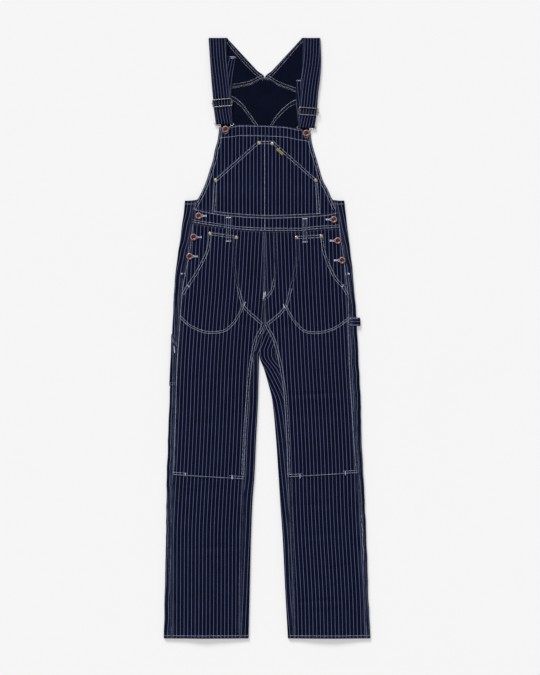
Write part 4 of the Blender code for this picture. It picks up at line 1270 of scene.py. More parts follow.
@dataclass
class BackYoke:
    """The shield at the middle of the back, between the straps above and the backs below."""

    across: int = 34
    down: int = 16

    def make(self) -> list[Piece]:
        """Makes the shield, wrong side up in the neck of the garment."""
        ply = Ply("back_yoke_cloth", flip=True)
        ply.rolls = (False, False, False, False)
        ply.lies_flat = True
        xs = yoke_line(RIGHT, spread(0, 1, self.across)) + yoke_line(LEFT, spread(0, 1, self.across))[::-1]
        foot, top = across(YOKE_FOOT), across(YOKE_TOP)
        for share in spread(0, 1, self.down):
            row = []
            for x in xs:
                y = mix(foot(x), top(x), share)
                row.append((x, y, FORM.lifted(x, y)))
            ply.add(row)
        return [ply.lay(["the surface"])]


@dataclass
class ShoulderStrap:
    """One shoulder piece and its strap: up the back, over, down through the hook, and up again."""

    side: Side
    width: float = 44.0
    fold_radius: float = 3.6
    turn_radius: float = 3.0
    turn_steps: int = 8
    shoulder_rows: int = 30
    stripe_start: float = 4.7
    closeness: float = 1.28
    lean: dict[str, float] = both(0.03, 0.08)
    inner_at_fold: dict[str, float] = both(-99, 86)

    def sway(self, y: float, x: float) -> float:
        """The slight wave of a strap that lies loose."""
        wave = 0.55 * math.sin(y / 17.0 + self.side.out)
        return wave + 0.35 * noise.noise(Vector((x / 15, y / 21, 9.0)))

    def edges(self, row: StrapRow) -> Place:
        """A row's two edges, from the outer to the inner."""
        return (row.right, row.left) if self.side is RIGHT else (row.left, row.right)

    def make(self) -> list[Piece]:
        """Makes the strap as one length of doubled cloth."""
        side, name = self.side, self.side.name
        ply = Ply(f"strap_{name}_cloth", thickness=STRAP_CLOTH, flip=side is RIGHT)
        run, tail = STRAP_RUN[name], STRAP_TAIL[name]
        fold_y = SHOULDER_Y - self.fold_radius
        parts = graded(self.width, 4.4)
        top = across(YOKE_TOP)
        tips = yoke_line(side, parts)
        rows: list[list[Point]] = []
        for share in spread(0, 1, self.shoulder_rows):
            row = []
            for part, tip in zip(parts, tips):
                y = mix(top(tip) + GAP, fold_y, share)
                inner = mix(CENTRE_X + side.out * HALF_GAP, self.inner_at_fold[name], share)
                x = mix(mix(side.back_rim(y), inner, part), tip, 1 - smoothstep(0.0, 0.2, share))
                row.append((x, y, FORM.lifted(x, y) * (1 - share)))
            rows.append(row)
        shoulder = len(rows)

        def turn(y: float, radius: float, height: float, start: Place, end: Place, ahead: int) -> None:
            """A half turn of the strap; ahead is 1 up the garment and -1 down it."""
            for k in range(1, self.turn_steps):
                angle, share = math.pi * k / self.turn_steps, k / self.turn_steps
                ends = mix(start[0], end[0], share), mix(start[1], end[1], share)
                at = y + ahead * radius * math.sin(angle), height - ahead * radius * math.cos(angle)
                rows.append([(mix(*ends, part), *at) for part in parts])

        def lay_over(table: list[StrapRow], step: float) -> None:
            """A flat length of the strap, through the places of a table."""
            up = table[-1].y > table[0].y
            ordered = table if up else table[::-1]
            outer = Profile(ordered, "right" if side is RIGHT else "left")
            inner = Profile(ordered, "left" if side is RIGHT else "right")
            height = Profile(ordered, "z")
            levels = stations(ordered[0].y, ordered[-1].y, step)
            for y in levels if up else levels[::-1]:
                middle = math.sin(math.pi * (y - ordered[0].y) / (ordered[-1].y - ordered[0].y))
                row = []
                for part in parts:
                    x = mix(outer(y), inner(y), part)
                    row.append((x, y, height(y) + middle * (0.0 if table is tail else self.sway(y, x))))
                rows.append(row)

        turn(fold_y, self.fold_radius, self.fold_radius, (rows[-1][0][0], rows[-1][-1][0]), self.edges(run[0]), 1)
        lay_over(run, 5.0)
        middle = (run[-1].z + tail[0].z) / 2
        turn(run[-1].y, self.turn_radius, middle, self.edges(run[-1]), self.edges(tail[0]), -1)
        lay_over(tail, 5.0)
        ply.striped_inside = lambda i, j: i > shoulder + 1
        length = 0.0
        for i, row in enumerate(rows):
            if i:
                length += math.dist(row[7], rows[i - 1][7])
            wide = abs(row[-1][0] - row[0][0])
            drift = self.stripe_start - self.lean[name] * length + 0.9 * math.sin(length / 23.0)
            marks = [((part * wide - wide / 2) * self.closeness + drift, length) for part in parts]
            ply.add(row, marks)
        return [ply.lay(["back_yoke", f"trouser_back_{name}"])]


@dataclass
class SideLoops:
    """What is sewn on the trousers' two sides: the hammer loop, and the long tool pocket."""

    loop_y: float = 41.5
    loop_width: float = 22.0
    loop_out: float = 9.0
    loop_under: float = 30.0
    pocket_under: float = 62.0
    pocket_foot: float = -122.0
    pocket_length: float = 125.0
    contact: float = 0.1
    arc_steps: int = 10

    def hammer_loop(self) -> Piece:
        """The loop on the wearer's left: from the outseam, out past the fold, and back beneath."""
        ply = Ply("hammer_loop_cloth")
        for y in spread(self.loop_y - self.loop_width / 2, self.loop_y + self.loop_width / 2, 8):
            start = LEFT.back_edge(y) + GAP
            high = FOLD_HEIGHT + LAP + self.contact
            turn = fold_arc(LEFT.fold_line(y) + self.loop_out - high / 2, 0.0, high, 1, self.arc_steps)
            xs = spread(start, turn[0][0] - 4, 4)
            row = [(x, y, FORM.skin(LEFT, x, y) + LAP + self.contact) for x in xs]
            row += [(x, y, z) for x, z in turn]
            row += [(x, y, 0.0) for x in spread(turn[-1][0], LEFT.fold_line(y) - self.loop_under, 8)[1:]]
            ply.add(row, [(y, x) for x, _, _ in row])
        return ply.lay(["trouser_back_left"])

    def tool_pocket(self) -> Piece:
        """The long pocket on the wearer's right, which wraps the side fold from the outseam."""
        ply = Ply("tool_pocket_cloth", flip=True)

        def radius(y: float) -> float:
            """Half the thickness of the fold at a level."""
            return (FOLD_HEIGHT - RIGHT.floor(RIGHT.fold_line(y), y)) / 2

        def tangent(y: float) -> float:
            """Where the side fold starts to turn."""
            return RIGHT.fold_line(y) + radius(y)

        for share in graded(self.pocket_length, 5.0):
            row = []
            for part in spread(0, 1, 4)[:-1]:
                y = mix(self.pocket_foot, mix(-10, 6, part), share)
                x = mix(RIGHT.back_edge(y) - 1, tangent(y), part)
                row.append((x, y, FORM.skin(RIGHT, RIGHT.back_edge(y), y) + LAP))
            for k in range(self.arc_steps + 1):
                angle = math.pi * k / self.arc_steps
                y = mix(self.pocket_foot, 8 + 4 * k / self.arc_steps, share)
                x = tangent(y) - (FOLD_RADIUS + LAP / 2) * math.sin(angle)
                row.append((x, y, (FOLD_HEIGHT + LAP) / 2 * (1 + math.cos(angle))))
            for part in spread(0, 1, 14)[1:]:
                y = mix(self.pocket_foot, mix(12, 14, part), share)
                row.append((tangent(y) + self.pocket_under * part, y, 0.0))
            ply.add(row)
        return ply.lay(["trouser_back_right"])

    def make(self) -> list[Piece]:
        """Makes both pieces."""
        return [self.hammer_loop(), self.tool_pocket()]


@dataclass
class Buttons:
    """The donut buttons of the bib and the side plackets, and the rivets at the pockets' corners."""

    radius: float = 8.5
    height: float = 3.2
    shank: float = 3.2
    rim_width: float = 3.0
    sides: int = 48
    rivet_radius: float = 4.2
    band_from: float = 290.0
    side_places: dict[str, Path] = both([(-174, 311), (-187, 257), (-197, 208)],
        [(170, 302), (180, 248), (191, 198)])
    bib_places: dict[str, Place] = both((-106, 532), (100, 522))
    bib_rivets: tuple[Place, ...] = ((-131, 403), (-20, 497), (13, 495), (124, 402))
    pocket_rivets: tuple[Place, ...] = ((-145, 266), (-78, 256), (75, 256), (138, 260))

    def turned(self, name: str, profile: Path, at: Point, cover: Cover) -> Piece:
        """A solid of revolution from (radius, height) places, with a smooth profile.

        Args:
            name: the piece's name, and its solid's.
            profile: the profile from the foot's centre to the top's.
            at: the place of its foot.
            cover: its finish.

        Returns:
            The finished piece.
        """
        form = bmesh.new()
        rings = []
        for radius, height in profile:
            count = 1 if radius == 0 else self.sides
            ring = []
            for k in range(count):
                angle = 2 * math.pi * k / self.sides
                place = at[0] + radius * math.cos(angle), at[1] + radius * math.sin(angle), at[2] + height
                ring.append(form.verts.new([value * MM for value in place]))
            rings.append(ring)
        for low, high in zip(rings, rings[1:]):
            for k in range(self.sides):
                corners = [low[k % len(low)], low[(k + 1) % len(low)]]
                corners += [high[(k + 1) % len(high)], high[k % len(high)]]
                form.faces.new(list(dict.fromkeys(corners)))
        copper = cover is Cover.COPPER
        # A copper button's outer ring takes the paler rim finish, a painted highlight on its rolled rim
        mesh = meshed(form, name, cover, *[Cover.COPPER_RIM] * copper)
        if copper:
            for face in mesh.polygons:
                out = math.hypot(face.center.x / MM - at[0], face.center.y / MM - at[1])
                face.material_index = int(self.radius - self.rim_width < out)
        return settle(f"{name}_{'cap' if copper else 'head'}", mesh, cover.value.name, [name])

    def donut(self, lift: float, foot_radius: float) -> Path:
        """The button's profile: a rolled rim round a dished middle with a raised eye."""
        r, top = self.radius, lift + self.height
        edge = [(foot_radius, 0), (foot_radius, lift), (r - 0.9, lift), (r - 0.2, lift + 0.3), (r, lift + 0.9)]
        rim = [(r - 0.25, top - 0.9), (r - 0.9, top - 0.3), (r - 1.9, top), (r - 2.9, top - 0.15),
            (r - 3.6, top - 0.7)]
        dish = [(r - 4.3, top - 1.25), (2.9, top - 1.45), (2.2, top - 1.5), (1.9, top - 1.15), (1.2, top - 1.0)]
        return [(0, 0), *edge, *rim, *dish, (0.6, top - 1.25), (0, top - 1.3)]

    def make(self) -> list[Piece]:
        """Makes every button and rivet."""
        made = []
        profile = self.donut(0.2, 6.5)
        for name, places in self.side_places.items():
            for k, (x, y) in enumerate(places, 1):
                foot = FORM.top(x, y) + (CLOTH if y > self.band_from else 0.0) + GAP + 0.1
                made.append(self.turned(f"side_button_{name}_{k}", profile, (x, y, foot), Cover.COPPER))
        profile = self.donut(self.shank, 3.0)
        for name, (x, y) in self.bib_places.items():
            at = x, y, FORM.top(x, y) + GAP
            made.append(self.turned(f"bib_button_{name}", profile, at, Cover.COPPER))
        r = self.rivet_radius
        profile = [(0, 0), (r, 0), (r + 0.05, 0.35), (r - 0.4, 0.8), (r - 1.0, 0.95), (2.5, 0.6), (2.0, 0.55)]
        profile += [(1.75, 1.1), (1.35, 1.6), (0.8, 1.85), (0, 1.95)]
        for name, places in (("bib", self.bib_rivets), ("pocket", self.pocket_rivets)):
            for k, (x, y) in enumerate(places, 1):
                foot = max(FORM.top(x, y + step) for step in (-r, 0, r)) + PATCH_LAP
                made.append(self.turned(f"rivet_{name}_{k}", profile, (x, y, foot), Cover.BRASS))
        return made


@dataclass
class StrapHardware:
    """The wire hooks that hold the straps to the bib, and the slides that set their length."""

    wire: float = 1.1
    frame_wire: float = 1.3
    bar_wire: float = 0.9
    half_width: float = 24.2
    half_depth: float = 9.0
    corner: float = 3.0
    slides: dict[str, Point] = both((-114, 599, 5), (105.5, 577, -4))

    def round_wire(self, name: str, points: Sequence[Sequence[float]], radius: float, closed: bool,
        at: Sequence[float], turn: float = 0.0) -> Piece:
        """A round wire through points, with its bends made smooth.

        Args:
            name: the name of the solid it stands for.
            points: the wire's middle line, in millimetres round its own place.
            radius: half the wire's thickness.
            closed: whether its ends meet.
            at: its place.
            turn: its turn about Z, in degrees.

        Returns:
            The finished piece.
        """
        curve = bpy.data.curves.new(name, "CURVE")
        curve.dimensions = "3D"
        curve.bevel_depth = radius * MM
        curve.bevel_resolution = 4
        curve.use_fill_caps = not closed
        curve.resolution_u = 8
        spline = curve.splines.new("BEZIER")
        spline.bezier_points.add(len(points) - 1)
        place = Euler((0, 0, math.radians(turn))).to_matrix()
        line = [place @ Vector(point) + Vector(at) for point in points]
        for i, (node, point) in enumerate(zip(spline.bezier_points, line)):
            before, after = line[i - 1], line[(i + 1) % len(line)]
            if not closed:
                before, after = line[max(0, i - 1)], line[min(len(line) - 1, i + 1)]
            run = (after - before).normalized()
            node.co = point * MM
            node.handle_left_type = node.handle_right_type = "FREE"
            node.handle_left = (point - run * (point - before).length * 0.3) * MM
            node.handle_right = (point + run * (after - point).length * 0.3) * MM
        spline.use_cyclic_u = closed
        maker = placed(f"{name}_line", curve)
        mesh = bpy.data.meshes.new_from_object(maker.evaluated_get(bpy.context.evaluated_depsgraph_get()))
        bpy.data.objects.remove(maker)
        mesh.materials.clear()
        mesh.materials.append(Cover.STEEL.material)
        mesh.shade_smooth()
        return settle(f"{name}_wire", mesh, "hook_steel", [name])

    def hook(self, side: Side) -> Piece:
        """The hook: a bar in the strap's turn, and a pear-shaped loop round the button's shank."""
        x, y = Buttons().bib_places[side.name]
        run = STRAP_RUN[side.name][-1]
        middle, bar_y = (run.right + run.left) / 2 - x, run.y - y
        bar_z = (run.z + STRAP_TAIL[side.name][0].z) / 2
        loop_z = FORM.front(side, x, y) + 0.9 + self.wire
        shape = [(middle, 14, bar_y, bar_z), (middle, 22.8, bar_y, bar_z), (middle, 24.4, bar_y - 1.8, bar_z),
            (middle, 22.6, bar_y - 4.2, bar_z + 0.8), (0, 13, bar_y - 6.5, loop_z), (0, 9.8, 3, loop_z),
            (0, 7.8, -3, loop_z), (0, 4.8, -9, loop_z)]
        right = [(centre + out, *rest) for centre, out, *rest in shape]
        left = [(centre - out, *rest) for centre, out, *rest in shape[::-1]]
        points = [*right, (0, -12, loop_z), *left, (middle, bar_y, bar_z)]
        return self.round_wire(f"bib_hook_{side.name}", points, self.wire, True, (x, y, 0))

    def slide(self, side: Side) -> list[Piece]:
        """The slide: a wire frame over the strap, and its bar beneath with the ends turned up."""
        x, y, angle = self.slides[side.name]
        top = Profile(STRAP_RUN[side.name][::-1], "z")(y)
        frame_z = top + GAP + self.frame_wire + 0.35
        bar_z = top - STRAP_CLOTH - GAP - self.bar_wire - 0.3
        points = []
        middle_x, middle_y = self.half_width - self.corner, self.half_depth - self.corner
        for start, way_x, way_y in ((0, 1, 1), (90, -1, 1), (180, -1, -1), (270, 1, -1)):
            for turn in range(start, start + 120, 30):
                a = math.radians(turn)
                centre = way_x * middle_x, way_y * middle_y
                points.append((centre[0] + self.corner * math.cos(a), centre[1] + self.corner * math.sin(a), 0.0))
        reach = self.half_width + self.frame_wire + self.bar_wire + 0.4
        bar = [(-reach, 0, frame_z), (-reach, 0, bar_z + 1.2), (-reach + 1.2, 0, bar_z), (0, 0, bar_z),
            (reach - 1.2, 0, bar_z), (reach, 0, bar_z + 1.2), (reach, 0, frame_z)]
        at, frame_at = (x, y, 0), (x, y, frame_z)
        return [self.round_wire(f"buckle_frame_{side.name}", points, self.frame_wire, True, frame_at, angle),
            self.round_wire(f"buckle_bar_{side.name}", bar, self.bar_wire, False, at, angle)]

    def make(self) -> list[Piece]:
        """Makes both hooks and both slides."""
        made = [self.hook(side) for side in SIDES]
        return made + [piece for side in SIDES for piece in self.slide(side)]


@dataclass(frozen=True)
class StitchKind:
    """One kind of stitch: its spacing, its size, and its turn from the line it follows."""

    pitch: float
    length: float
    width: float
    height: float
    turn: float = 0.0


RUNNING = StitchKind(3.2, 2.7, 0.82, 0.5)
FINE = StitchKind(3.1, 2.5, 0.66, 0.45)
SATIN = StitchKind(0.85, 2.6, 0.95, 0.6, 90.0)
EYE = StitchKind(0.85, 1.9, 0.95, 0.6, 90.0)


class Stitcher:
    """Geometry Nodes that lay stitches along lines."""

    def __init__(self) -> None:
        """Builds the tree, with a named input for each size of the stitch."""
        self.tree = bpy.data.node_groups.new("stitches_on_line", "GeometryNodeTree")
        kinds = {"Line": "Geometry", "Pitch": "Float", "Length": "Float", "Width": "Float", "Height": "Float",
            "Turn": "Float", "Seed": "Int", "Thread": "Material"}
        self.inputs = {name: self.socket(name, kind, "INPUT") for name, kind in kinds.items()}
        self.socket("Stitches", "Geometry", "OUTPUT")
        nodes = Nodes(self.tree)
        source = nodes.add("NodeGroupInput")
        given = {name: nodes.out(source, name) for name in kinds}
        line = nodes.add("GeometryNodeMeshToCurve", Mesh=given["Line"])
        points = nodes.add("GeometryNodeCurveToPoints", {"mode": "LENGTH"}, Curve=line, Length=given["Pitch"])
        half = {axis: given[name] * 0.5 for axis, name in zip("XYZ", ("Length", "Width", "Height"))}
        size = nodes.add("ShaderNodeCombineXYZ", **half)
        ball = nodes.add("GeometryNodeMeshUVSphere", Segments=6, Rings=4, Radius=1.0)
        settings = {"axis": "X", "pivot_axis": "Z"}
        tangent = nodes.out(points, "Tangent")
        turned = nodes.add("FunctionNodeAlignRotationToVector", settings, Vector=tangent)
        spin = nodes.add("ShaderNodeCombineXYZ", Z=given["Turn"])
        settings = {"rotation_space": "LOCAL"}
        facing = nodes.add("FunctionNodeRotateRotation", settings, Rotation=turned, Rotate_By=spin)
        settings = {"data_type": "FLOAT"}
        uneven = nodes.add("FunctionNodeRandomValue", settings, i2=0.86, i3=1.12, Seed=given["Seed"])
        settings = {"operation": "SCALE"}
        scale = nodes.add("ShaderNodeVectorMath", settings, Vector=size, Scale=nodes.out(uneven, 1))
        copies = nodes.add("GeometryNodeInstanceOnPoints", Points=points, Instance=ball, Rotation=facing,
            Scale=scale)
        real = nodes.add("GeometryNodeRealizeInstances", Geometry=copies)
        threaded = nodes.add("GeometryNodeSetMaterial", Geometry=real, Material=given["Thread"])
        nodes.add("NodeGroupOutput", Stitches=threaded)

    def socket(self, name: str, kind: str, way: str) -> str:
        """Adds a named socket to the tree, and gives its identifier."""
        made = self.tree.interface.new_socket(name, in_out=way, socket_type=f"NodeSocket{kind}")
        return made.identifier

    def sew(self, name: str, lines: Sequence[Sequence[Vector]], kind: StitchKind, thread: Material,
        seed: int) -> Piece:
        """Sews stitches along lines.

        Args:
            name: the piece's name.
            lines: each line's places, in metres.
            kind: the kind of stitch.
            thread: the thread's finish.
            seed: what its unevenness starts from.

        Returns:
            The finished piece.
        """
        places: list[Vector] = []
        edges: list[tuple[int, int]] = []
        for line in lines:
            start = len(places)
            places += line
            edges += [(start + k, start + k + 1) for k in range(len(line) - 1)]
        guide_mesh = bpy.data.meshes.new(f"{name}_guide")
        guide_mesh.from_pydata([tuple(place) for place in places], edges, [])
        guide = placed(f"{name}_guide", guide_mesh)
        sewing = guide.modifiers.new("sewing", "NODES")
        sewing.node_group = self.tree
        for size in ("Pitch", "Length", "Width", "Height"):
            sewing[self.inputs[size]] = getattr(kind, size.lower()) * MM
        sewing[self.inputs["Turn"]] = math.radians(kind.turn)
        sewing[self.inputs["Seed"]] = seed
        sewing[self.inputs["Thread"]] = thread
        graph = bpy.context.evaluated_depsgraph_get()
        mesh = bpy.data.meshes.new_from_object(guide.evaluated_get(graph))
        bpy.data.objects.remove(guide)
        mesh.shade_smooth()
        return settle(name, mesh, "striped_denim")


def double(path: Path, first: float, gap: float = 5.5) -> list[Path]:
    """Two rows of stitching beside a path, the first at a distance and the second beyond it."""
    beyond = first + math.copysign(gap, first)
    return [offset(path, first), offset(path, beyond)]


def bar(x: float, y: float, length: float = 8.0, turn: float = 90.0) -> Path:
    """A bartack's short line, turned in degrees from the way across."""
    run_x, run_y = math.cos(math.radians(turn)) * length / 2, math.sin(math.radians(turn)) * length / 2
    return [(x - run_x, y - run_y), (x + run_x, y + run_y)]


def beside(edge: Profile, xs: Sequence[float], rise: float) -> Path:
    """A path across the garment that keeps its distance from an edge."""
    return [(x, edge(x) + rise) for x in xs]


def level(ends: Place, y: float, count: int) -> Path:
    """A level path between two places in X."""
    return [(mix(*ends, share), y) for share in spread(0, 1, count)]


@dataclass
class Topstitching:
    """All the stitching that shows, sewn on the finished cloth."""

    cloth: list[Piece]
    near: float = 2.2
    edge: float = 3.0
    gap: float = 5.4
    yoke_gap: float = 6.6
    facing: float = 27.0
    hem: float = 7.4
    sink: float = 0.06
    sewn: int = 0

    def __post_init__(self) -> None:
        """Makes the sewing tree, and the surfaces that the stitches are dropped on."""
        self.stitcher = Stitcher()
        places: list[Vector] = []
        faces: list[list[int]] = []
        for piece in self.cloth:
            start = len(places)
            places += [vertex.co.copy() for vertex in piece.data.vertices]
            faces += [[start + index for index in face.vertices] for face in piece.data.polygons]
        self.surface = BVHTree.FromPolygons(places, faces)

    def drop(self, path: Path, below: bool, start_height: float) -> list[list[Vector]]:
        """Lays a path on the cloth, from above or from below, and parts it where there is none."""
        lines: list[list[Vector]] = [[]]
        way = 1.0 if below else -1.0
        for x, y in stepped(path, 3.0):
            start = Vector((x * MM, y * MM, -way * start_height * MM))
            hit, normal, _, _ = self.surface.ray_cast(start, Vector((0, 0, way)))
            if hit is None or abs(normal.z) < 0.35:
                lines.append([])
                continue
            lines[-1].append(hit + Vector((0, 0, way * self.sink * MM)))
        return [line for line in lines if len(line) > 1]

    def row(self, name: str, paths: Iterable[Path], kind: StitchKind = RUNNING, sunk: bool = False,
        below: bool = False, start_height: float = 80.0) -> Piece:
        """Sews a group of paths as one piece.

        Args:
            name: the piece's name.
            paths: the lines to follow, in millimetres.
            kind: the kind of stitch.
            sunk: whether the cloth has closed over the thread.
            below: whether they are sewn on the underside.
            start_height: how far from the floor each place is dropped from.

        Returns:
            The finished piece.
        """
        self.sewn += 1
        lines = [line for path in paths for line in self.drop(path, below, start_height)]
        thread = (Cover.SUNK_THREAD if sunk else Cover.THREAD).material
        return self.stitcher.sew(name, lines, kind, thread, self.sewn)

    @staticmethod
    def down(curve: Callable[[float], float], high: float, low: float, step: float = 6.0) -> Path:
        """A path that follows a curve of the garment from one level down to another."""
        count = max(1, round(abs(high - low) / step))
        return [(curve(y), y) for y in spread(high, low, count)]

    def leg(self, side: Side) -> list[Piece]:
        """The seams, hem, knee and patch of one leg."""
        name, out = side.name, side.out
        patch = TrouserHalf(side)
        inseam = self.down(side.inseam, CROTCH_Y - 6, HEM_Y + 2)
        outseam = self.down(side.outseam, SIDE_OPENING_Y, HEM_Y + 2)
        to_knee = [place for place in inseam if place[1] > KNEE_Y]
        past_knee = [place for place in inseam if place[1] <= KNEE_Y]
        white: list[Path] = []
        # Going down, the left hand is towards larger X: away from the middle on the wearer's left
        white += double(to_knee, out * self.near, self.gap)
        beyond = out * (self.near + 0.4)
        white += double(self.down(side.fly, 130, 60, 4.0) + self.round_fork(side), beyond, self.gap)
        sunk = double(self.down(side.fly, 256, 130, 4.0), beyond, self.gap)
        sunk += double(past_knee, out * self.near, self.gap) + double(outseam, out * 1.6, 5.0)
        white += double(self.down(side.opening, 262, 114, 5.0), -beyond, self.gap)
        low, top = patch.knee[name], patch.patch_top[name]
        ends = patch.patch_ends((low[0] + low[1]) / 2)
        foot = [(mix(*ends, s), mix(*low, s) + self.edge) for s in spread(0.01, 0.99, 20)]
        white += [foot, [(x, y + self.gap) for x, y in foot[:5]], [(x, y + self.gap) for x, y in foot[-5:]]]
        rim = patch.patch_ends(262)
        head = [(mix(*rim, s), mix(*top, s) - self.edge) for s in spread(0.03, 0.97, 12)]
        white += [head, [(x, y - self.gap) for x, y in head]]
        white += [self.down(lambda y: side.outseam(y) - out * 3.2, SIDE_OPENING_Y + 2, -344)]
        white += double(self.bag(side), 1.4, 4.6)
        edges = side.fold_line(HEM_Y) - out * 3, side.inner(HEM_Y) + out * 3
        hem = level(edges, HEM_Y + self.hem, 40)
        if side is LEFT:
            white.append(self.down(lambda y: side.outseam(y) + 2.6 + 1.3 * math.sin(y / 8), -452, -562))
        return [self.row(f"leg_{name}_topstitching", white + [hem]),
            self.row(f"leg_{name}_felled_stitching", sunk, sunk=True),
            self.row(f"leg_{name}_underside_stitching", [hem] + self.seat(side), below=True),
            self.row(f"leg_{name}_bartacks", self.leg_bars(side), SATIN)]

    @staticmethod
    def round_fork(side: Side) -> Path:
        """The end of the fly's curve, down to where it meets the inseam."""
        return [(side.fly(y), y) for y in (54, 49, 44, 40)]

    @staticmethod
    def seat(side: Side) -> list[Path]:
        """The seat seam on the underside, from the fork to the yoke."""
        line = [(CENTRE_X + side.out * 3.4, y) for y in spread(20, 512, 80)]
        return [line, [(x + side.out * 5.4, y) for x, y in line]]

    @staticmethod
    def bag(side: Side) -> Path:
        """The curve of the hand pocket's bag."""
        if side is RIGHT:
            return rounded([(-224, 52), (-202, 31), (-177, 18), (-150, 11), (-111, 14), (-84, 34), (-66, 63),
                    (-57, 84)])
        return rounded([(44, 80), (54, 61), (72, 34), (95, 14), (127, 10), (159, 16), (186, 29), (212, 49)])

    @staticmethod
    def leg_bars(side: Side) -> list[Path]:
        """The leg's bartacks."""
        places = {RIGHT: ((-57, 87, 9, 70), (-208, -348, 9), (-89, -354, 9), (-214, 163, 10, 0),
                (-214, 165, 10, 0), (-201, 133, 8, 130), (-236, -29, 16, 95)),
            LEFT: ((43, 81, 9, 110), (84, -352, 9), (199, -344, 9), (205, 163, 10, 0), (205, 165, 10, 0),
                (193, 133, 8, 50), (-8.6, 108, 16, 84), (-4.4, 112, 12, 80))}
        return [bar(*place) for place in places[side]]

    def waist(self) -> list[Piece]:
        """The waistband, the belt loops, the fly, and the side plackets."""
        top, foot = across(BAND_TOP), across(BAND_FOOT)
        xs = spread(-188, 180, 90)
        white = [beside(top, xs, -self.edge), beside(foot, xs, self.edge), beside(foot, xs, self.edge + self.gap)]
        fly = rounded([(25, 268), (25, 250), (24, 195), (22, 150), (16, 122), (4, 104), (-9, 95)])
        white += double([place for place in fly if place[1] < 152], -1.0, 5.0)
        sunk = double([place for place in fly if place[1] > 148], -1.0, 5.0)
        sunk.append([(CENTRE_X - self.edge, y) for y in spread(268, 44, 50)])
        bars: list[Path] = []
        for side in SIDES:
            edge = self.down(lambda y, s=side: s.outseam(y) - s.out * 3.2, 288, SIDE_OPENING_Y + 2)
            white.append(edge)
            x, high, low = Waistband().loops[side.name]
            white += [[(x + off, y) for y in spread(low, high, 12)] for off in (-4.6, 4.6)]
            bars += [bar(x, high - 1.6, 12, 0), bar(x, low + 1.6, 12, 0)]
        eyes: list[Path] = []
        for side in SIDES:
            for x, y in Buttons().side_places[side.name]:
                eyes += self.keyhole(x, y, -side.out, 19.0)
        made = [self.row("waist_topstitching", white), self.row("fly_stitching", sunk, sunk=True),
            self.row("waist_bartacks", bars, SATIN), self.row("side_buttonholes", eyes, EYE)]
        wings: list[Path] = []
        for side in SIDES:
            ends = side.fold_line(340) - side.out * 3, side.back_rim(352)
            wings.append(level(ends, 341.5, 8))
        made.append(self.row("wing_stitching", wings))
        return made

    @staticmethod
    def keyhole(x: float, y: float, way: int, length: float) -> list[Path]:
        """A keyhole buttonhole that runs inwards from a button's shank."""
        shape = [(3.0, 2.7), (8.6, 2.7), (11.0, 1.1), (length, 1.0)]
        sides = [[(x + way * run, y + turn * rise) for run, rise in shape] for turn in (1, -1)]
        end = [(x + way * (length + 0.6), y + 2.2), (x + way * (length + 0.6), y - 2.2)]
        return [*sides, end]

    def bib(self) -> list[Piece]:
        """The bib's edges, and its pocket."""
        top = across(BIB_TOP)
        xs = spread(-119, 107, 60)
        white = [beside(top, xs, -self.edge), beside(top, xs, -self.facing)]
        for side in SIDES:
            edge = self.down(side.bib_edge, 534, 330)
            white += double(edge, -side.out * self.edge, self.gap)
            slant = self.down(lambda y, s=side: Bib.slant(s, y), 501, 404)
            flank = self.down(lambda y, s=side: Bib.slant(s, y), 402, 318)
            white += double(slant, -side.out * 2.6, self.gap) + double(flank, -side.out * 2.6, self.gap)
        white += [level((-22, 15), 500.2, 8), level((-14, 8), 494.8, 6)]
        white.append(beside(across(BAND_TOP), spread(-140, 134, 60), 4.0))
        middle: list[Path] = [[(-6.2, y) for y in spread(503, 312, 40)], [(-6.2, y) for y in spread(303, 276, 8)]]
        bars = [bar(30, 481, 7, 50), bar(38, 470, 7, 50)]
        return [self.row("bib_topstitching", white), self.row("bib_middle_stitching", middle),
            self.row("bib_tab_stitching", bars, replace(SATIN, length=1.2))]

    def back(self) -> list[Piece]:
        """The inside of the back: its neckline, its armholes, and both edges of the yoke."""
        neck = {RIGHT: rounded([(-99, 764), (-80, 738), (-52, 706), (-24, 678), (-7, 665)]),
            LEFT: rounded([(-5, 665), (14, 682), (40, 712), (66, 742), (86, 764)])}
        foot, top = across(YOKE_FOOT), across(YOKE_TOP)
        white: list[Path] = []
        for side in SIDES:
            white += double(neck[side], -self.edge, self.gap)
            rim = self.down(side.back_rim, 760, 556)
            white += double(rim, -side.out * self.edge, self.gap)
            inner, outer = (CENTRE_X + side.out * 0.5, side.back_rim(YOKE_FOOT[0].y))
            xs = spread(inner, outer, 40)
            white += [beside(top, xs, self.edge), beside(top, xs, self.edge + self.yoke_gap)]
            white += [beside(foot, xs, -2.0), beside(foot, xs, -4.5 - self.yoke_gap)]
        return [self.row("back_topstitching", white, FINE, start_height=1.95),
            self.row("back_underside_stitching", white, below=True)]

    def straps(self) -> list[Piece]:
        """The edges of both straps, and the bartack that ends each one."""
        white: list[Path] = []
        for side in SIDES:
            run = STRAP_RUN[side.name][::-1]
            for column, sign in (("right", 1), ("left", -1)):
                edge = Profile(run, column)
                white.append(self.down(lambda y, e=edge, s=sign: e(y) + s * self.edge, run[-1].y - 2, run[0].y + 2))
        bars = [bar(-87, 716.5, 15, 0), bar(-86, 713.6, 12, 4), bar(80, 656, 10, 0)]
        return [self.row("strap_topstitching", white, FINE, sunk=True),
            self.row("strap_bartacks", bars, replace(SATIN, length=1.8))]

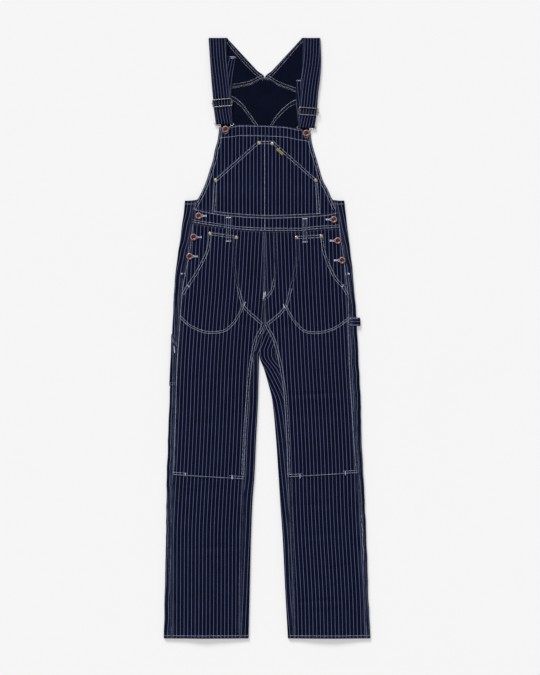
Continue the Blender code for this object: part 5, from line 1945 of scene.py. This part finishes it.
    def side_loops(self) -> list[Piece]:
        """The hammer loop and the tool pocket."""
        loops = SideLoops()
        white: list[Path] = []
        for off in (-8.0, 8.0):
            ends = LEFT.back_edge(loops.loop_y) + 1.5, LEFT.fold_line(loops.loop_y) + 2.0
            white.append(level(ends, loops.loop_y + off, 6))
        low = loops.pocket_foot
        for y in (low + self.edge, low + self.edge + self.gap):
            white.append(level((RIGHT.back_edge(y) - 2, RIGHT.fold_line(y) + 2), y, 5))
        for off in (-self.edge, -self.edge - self.gap):
            ends = RIGHT.back_edge(-10) - 2, RIGHT.fold_line(0) + 2
            white.append([(mix(*ends, s), mix(-10, 2, s) + off) for s in spread(0, 1, 5)])
        below: list[Path] = []
        for y in (low + self.edge, low + self.edge + self.gap, 10.0, 4.6):
            fold = RIGHT.fold_line(y)
            below.append(level((fold + 6, fold + loops.pocket_under - 1), y, 12))
        return [self.row("side_loop_stitching", white),
            self.row("tool_pocket_underside_stitching", below, below=True)]

    def make(self) -> list[Piece]:
        """Sews everything."""
        legs = [piece for side in SIDES for piece in self.leg(side)]
        return legs + self.waist() + self.bib() + self.back() + self.straps() + self.side_loops()


@dataclass
class Studio:
    """The pale surface, the soft light, and the camera straight above."""

    view_height: float = 1.721
    distance: float = 6.0
    sensor: float = 36.0
    middle: Place = (0.0075, 0.0015)
    reach: float = 12.0
    floor_level: float = -0.0006
    sky: float = 0.458
    window: float = 2.6
    window_spread: float = 22.0
    window_way: Point = (0.30, -0.76, -0.58)

    def floor(self) -> None:
        """The surface, level with the garment's underside."""
        mesh = bpy.data.meshes.new("pale_surface")
        ways = (-1, -1), (1, -1), (1, 1), (-1, 1)
        corners = [(x * self.reach, y * self.reach, self.floor_level) for x, y in ways]
        mesh.from_pydata(corners, [], [(0, 1, 2, 3)])
        mesh.materials.append(Cover.FLOOR.material)
        placed("pale_surface", mesh)

    def light(self) -> None:
        """A white room, with one broad soft light from the shoulders' side for the creases."""
        world = bpy.data.worlds.new("white_room")
        world.use_nodes = True
        inputs = world.node_tree.nodes["Background"].inputs
        inputs["Color"].default_value = (1, 1, 1, 1)
        inputs["Strength"].default_value = self.sky
        bpy.context.scene.world = world
        light = bpy.data.lights.new("window", "SUN")
        light.energy = self.window
        light.angle = math.radians(self.window_spread)
        lamp = placed("window", light)
        lamp.rotation_euler = Vector(self.window_way).to_track_quat("-Z", "Y").to_euler()
        bpy.context.scene.view_settings.view_transform = "Standard"

    def camera(self) -> None:
        """A long lens above the middle of the garment."""
        data = bpy.data.cameras.new("overhead")
        data.sensor_width = self.sensor
        data.lens = self.sensor * self.distance / self.view_height
        camera = placed("overhead", data)
        camera.location = (*self.middle, self.distance)
        bpy.context.scene.camera = camera

    def make(self) -> None:
        """Makes the surface, the light and the camera."""
        self.floor()
        self.light()
        self.camera()


def main() -> None:
    """Builds the garment piece by piece."""
    logging.basicConfig(level=logging.INFO, format="%(name)s: %(message)s")
    Studio().make()
    halves, straps = map(TrouserHalf, SIDES), map(ShoulderStrap, SIDES)
    made: list[Piece] = []
    for assembly in (*halves, Waistband(), Bib(), BackYoke(), *straps, SideLoops()):
        made += assembly.make()
    cloth = [piece for piece in made if piece.name.endswith("_cloth")]
    for assembly in (Buttons(), StrapHardware(), Topstitching(cloth)):
        made += assembly.make()
    LOG.info("%d pieces, %d faces", len(made), sum(len(piece.data.polygons) for piece in made))


if __name__ == "__main__":
    main()
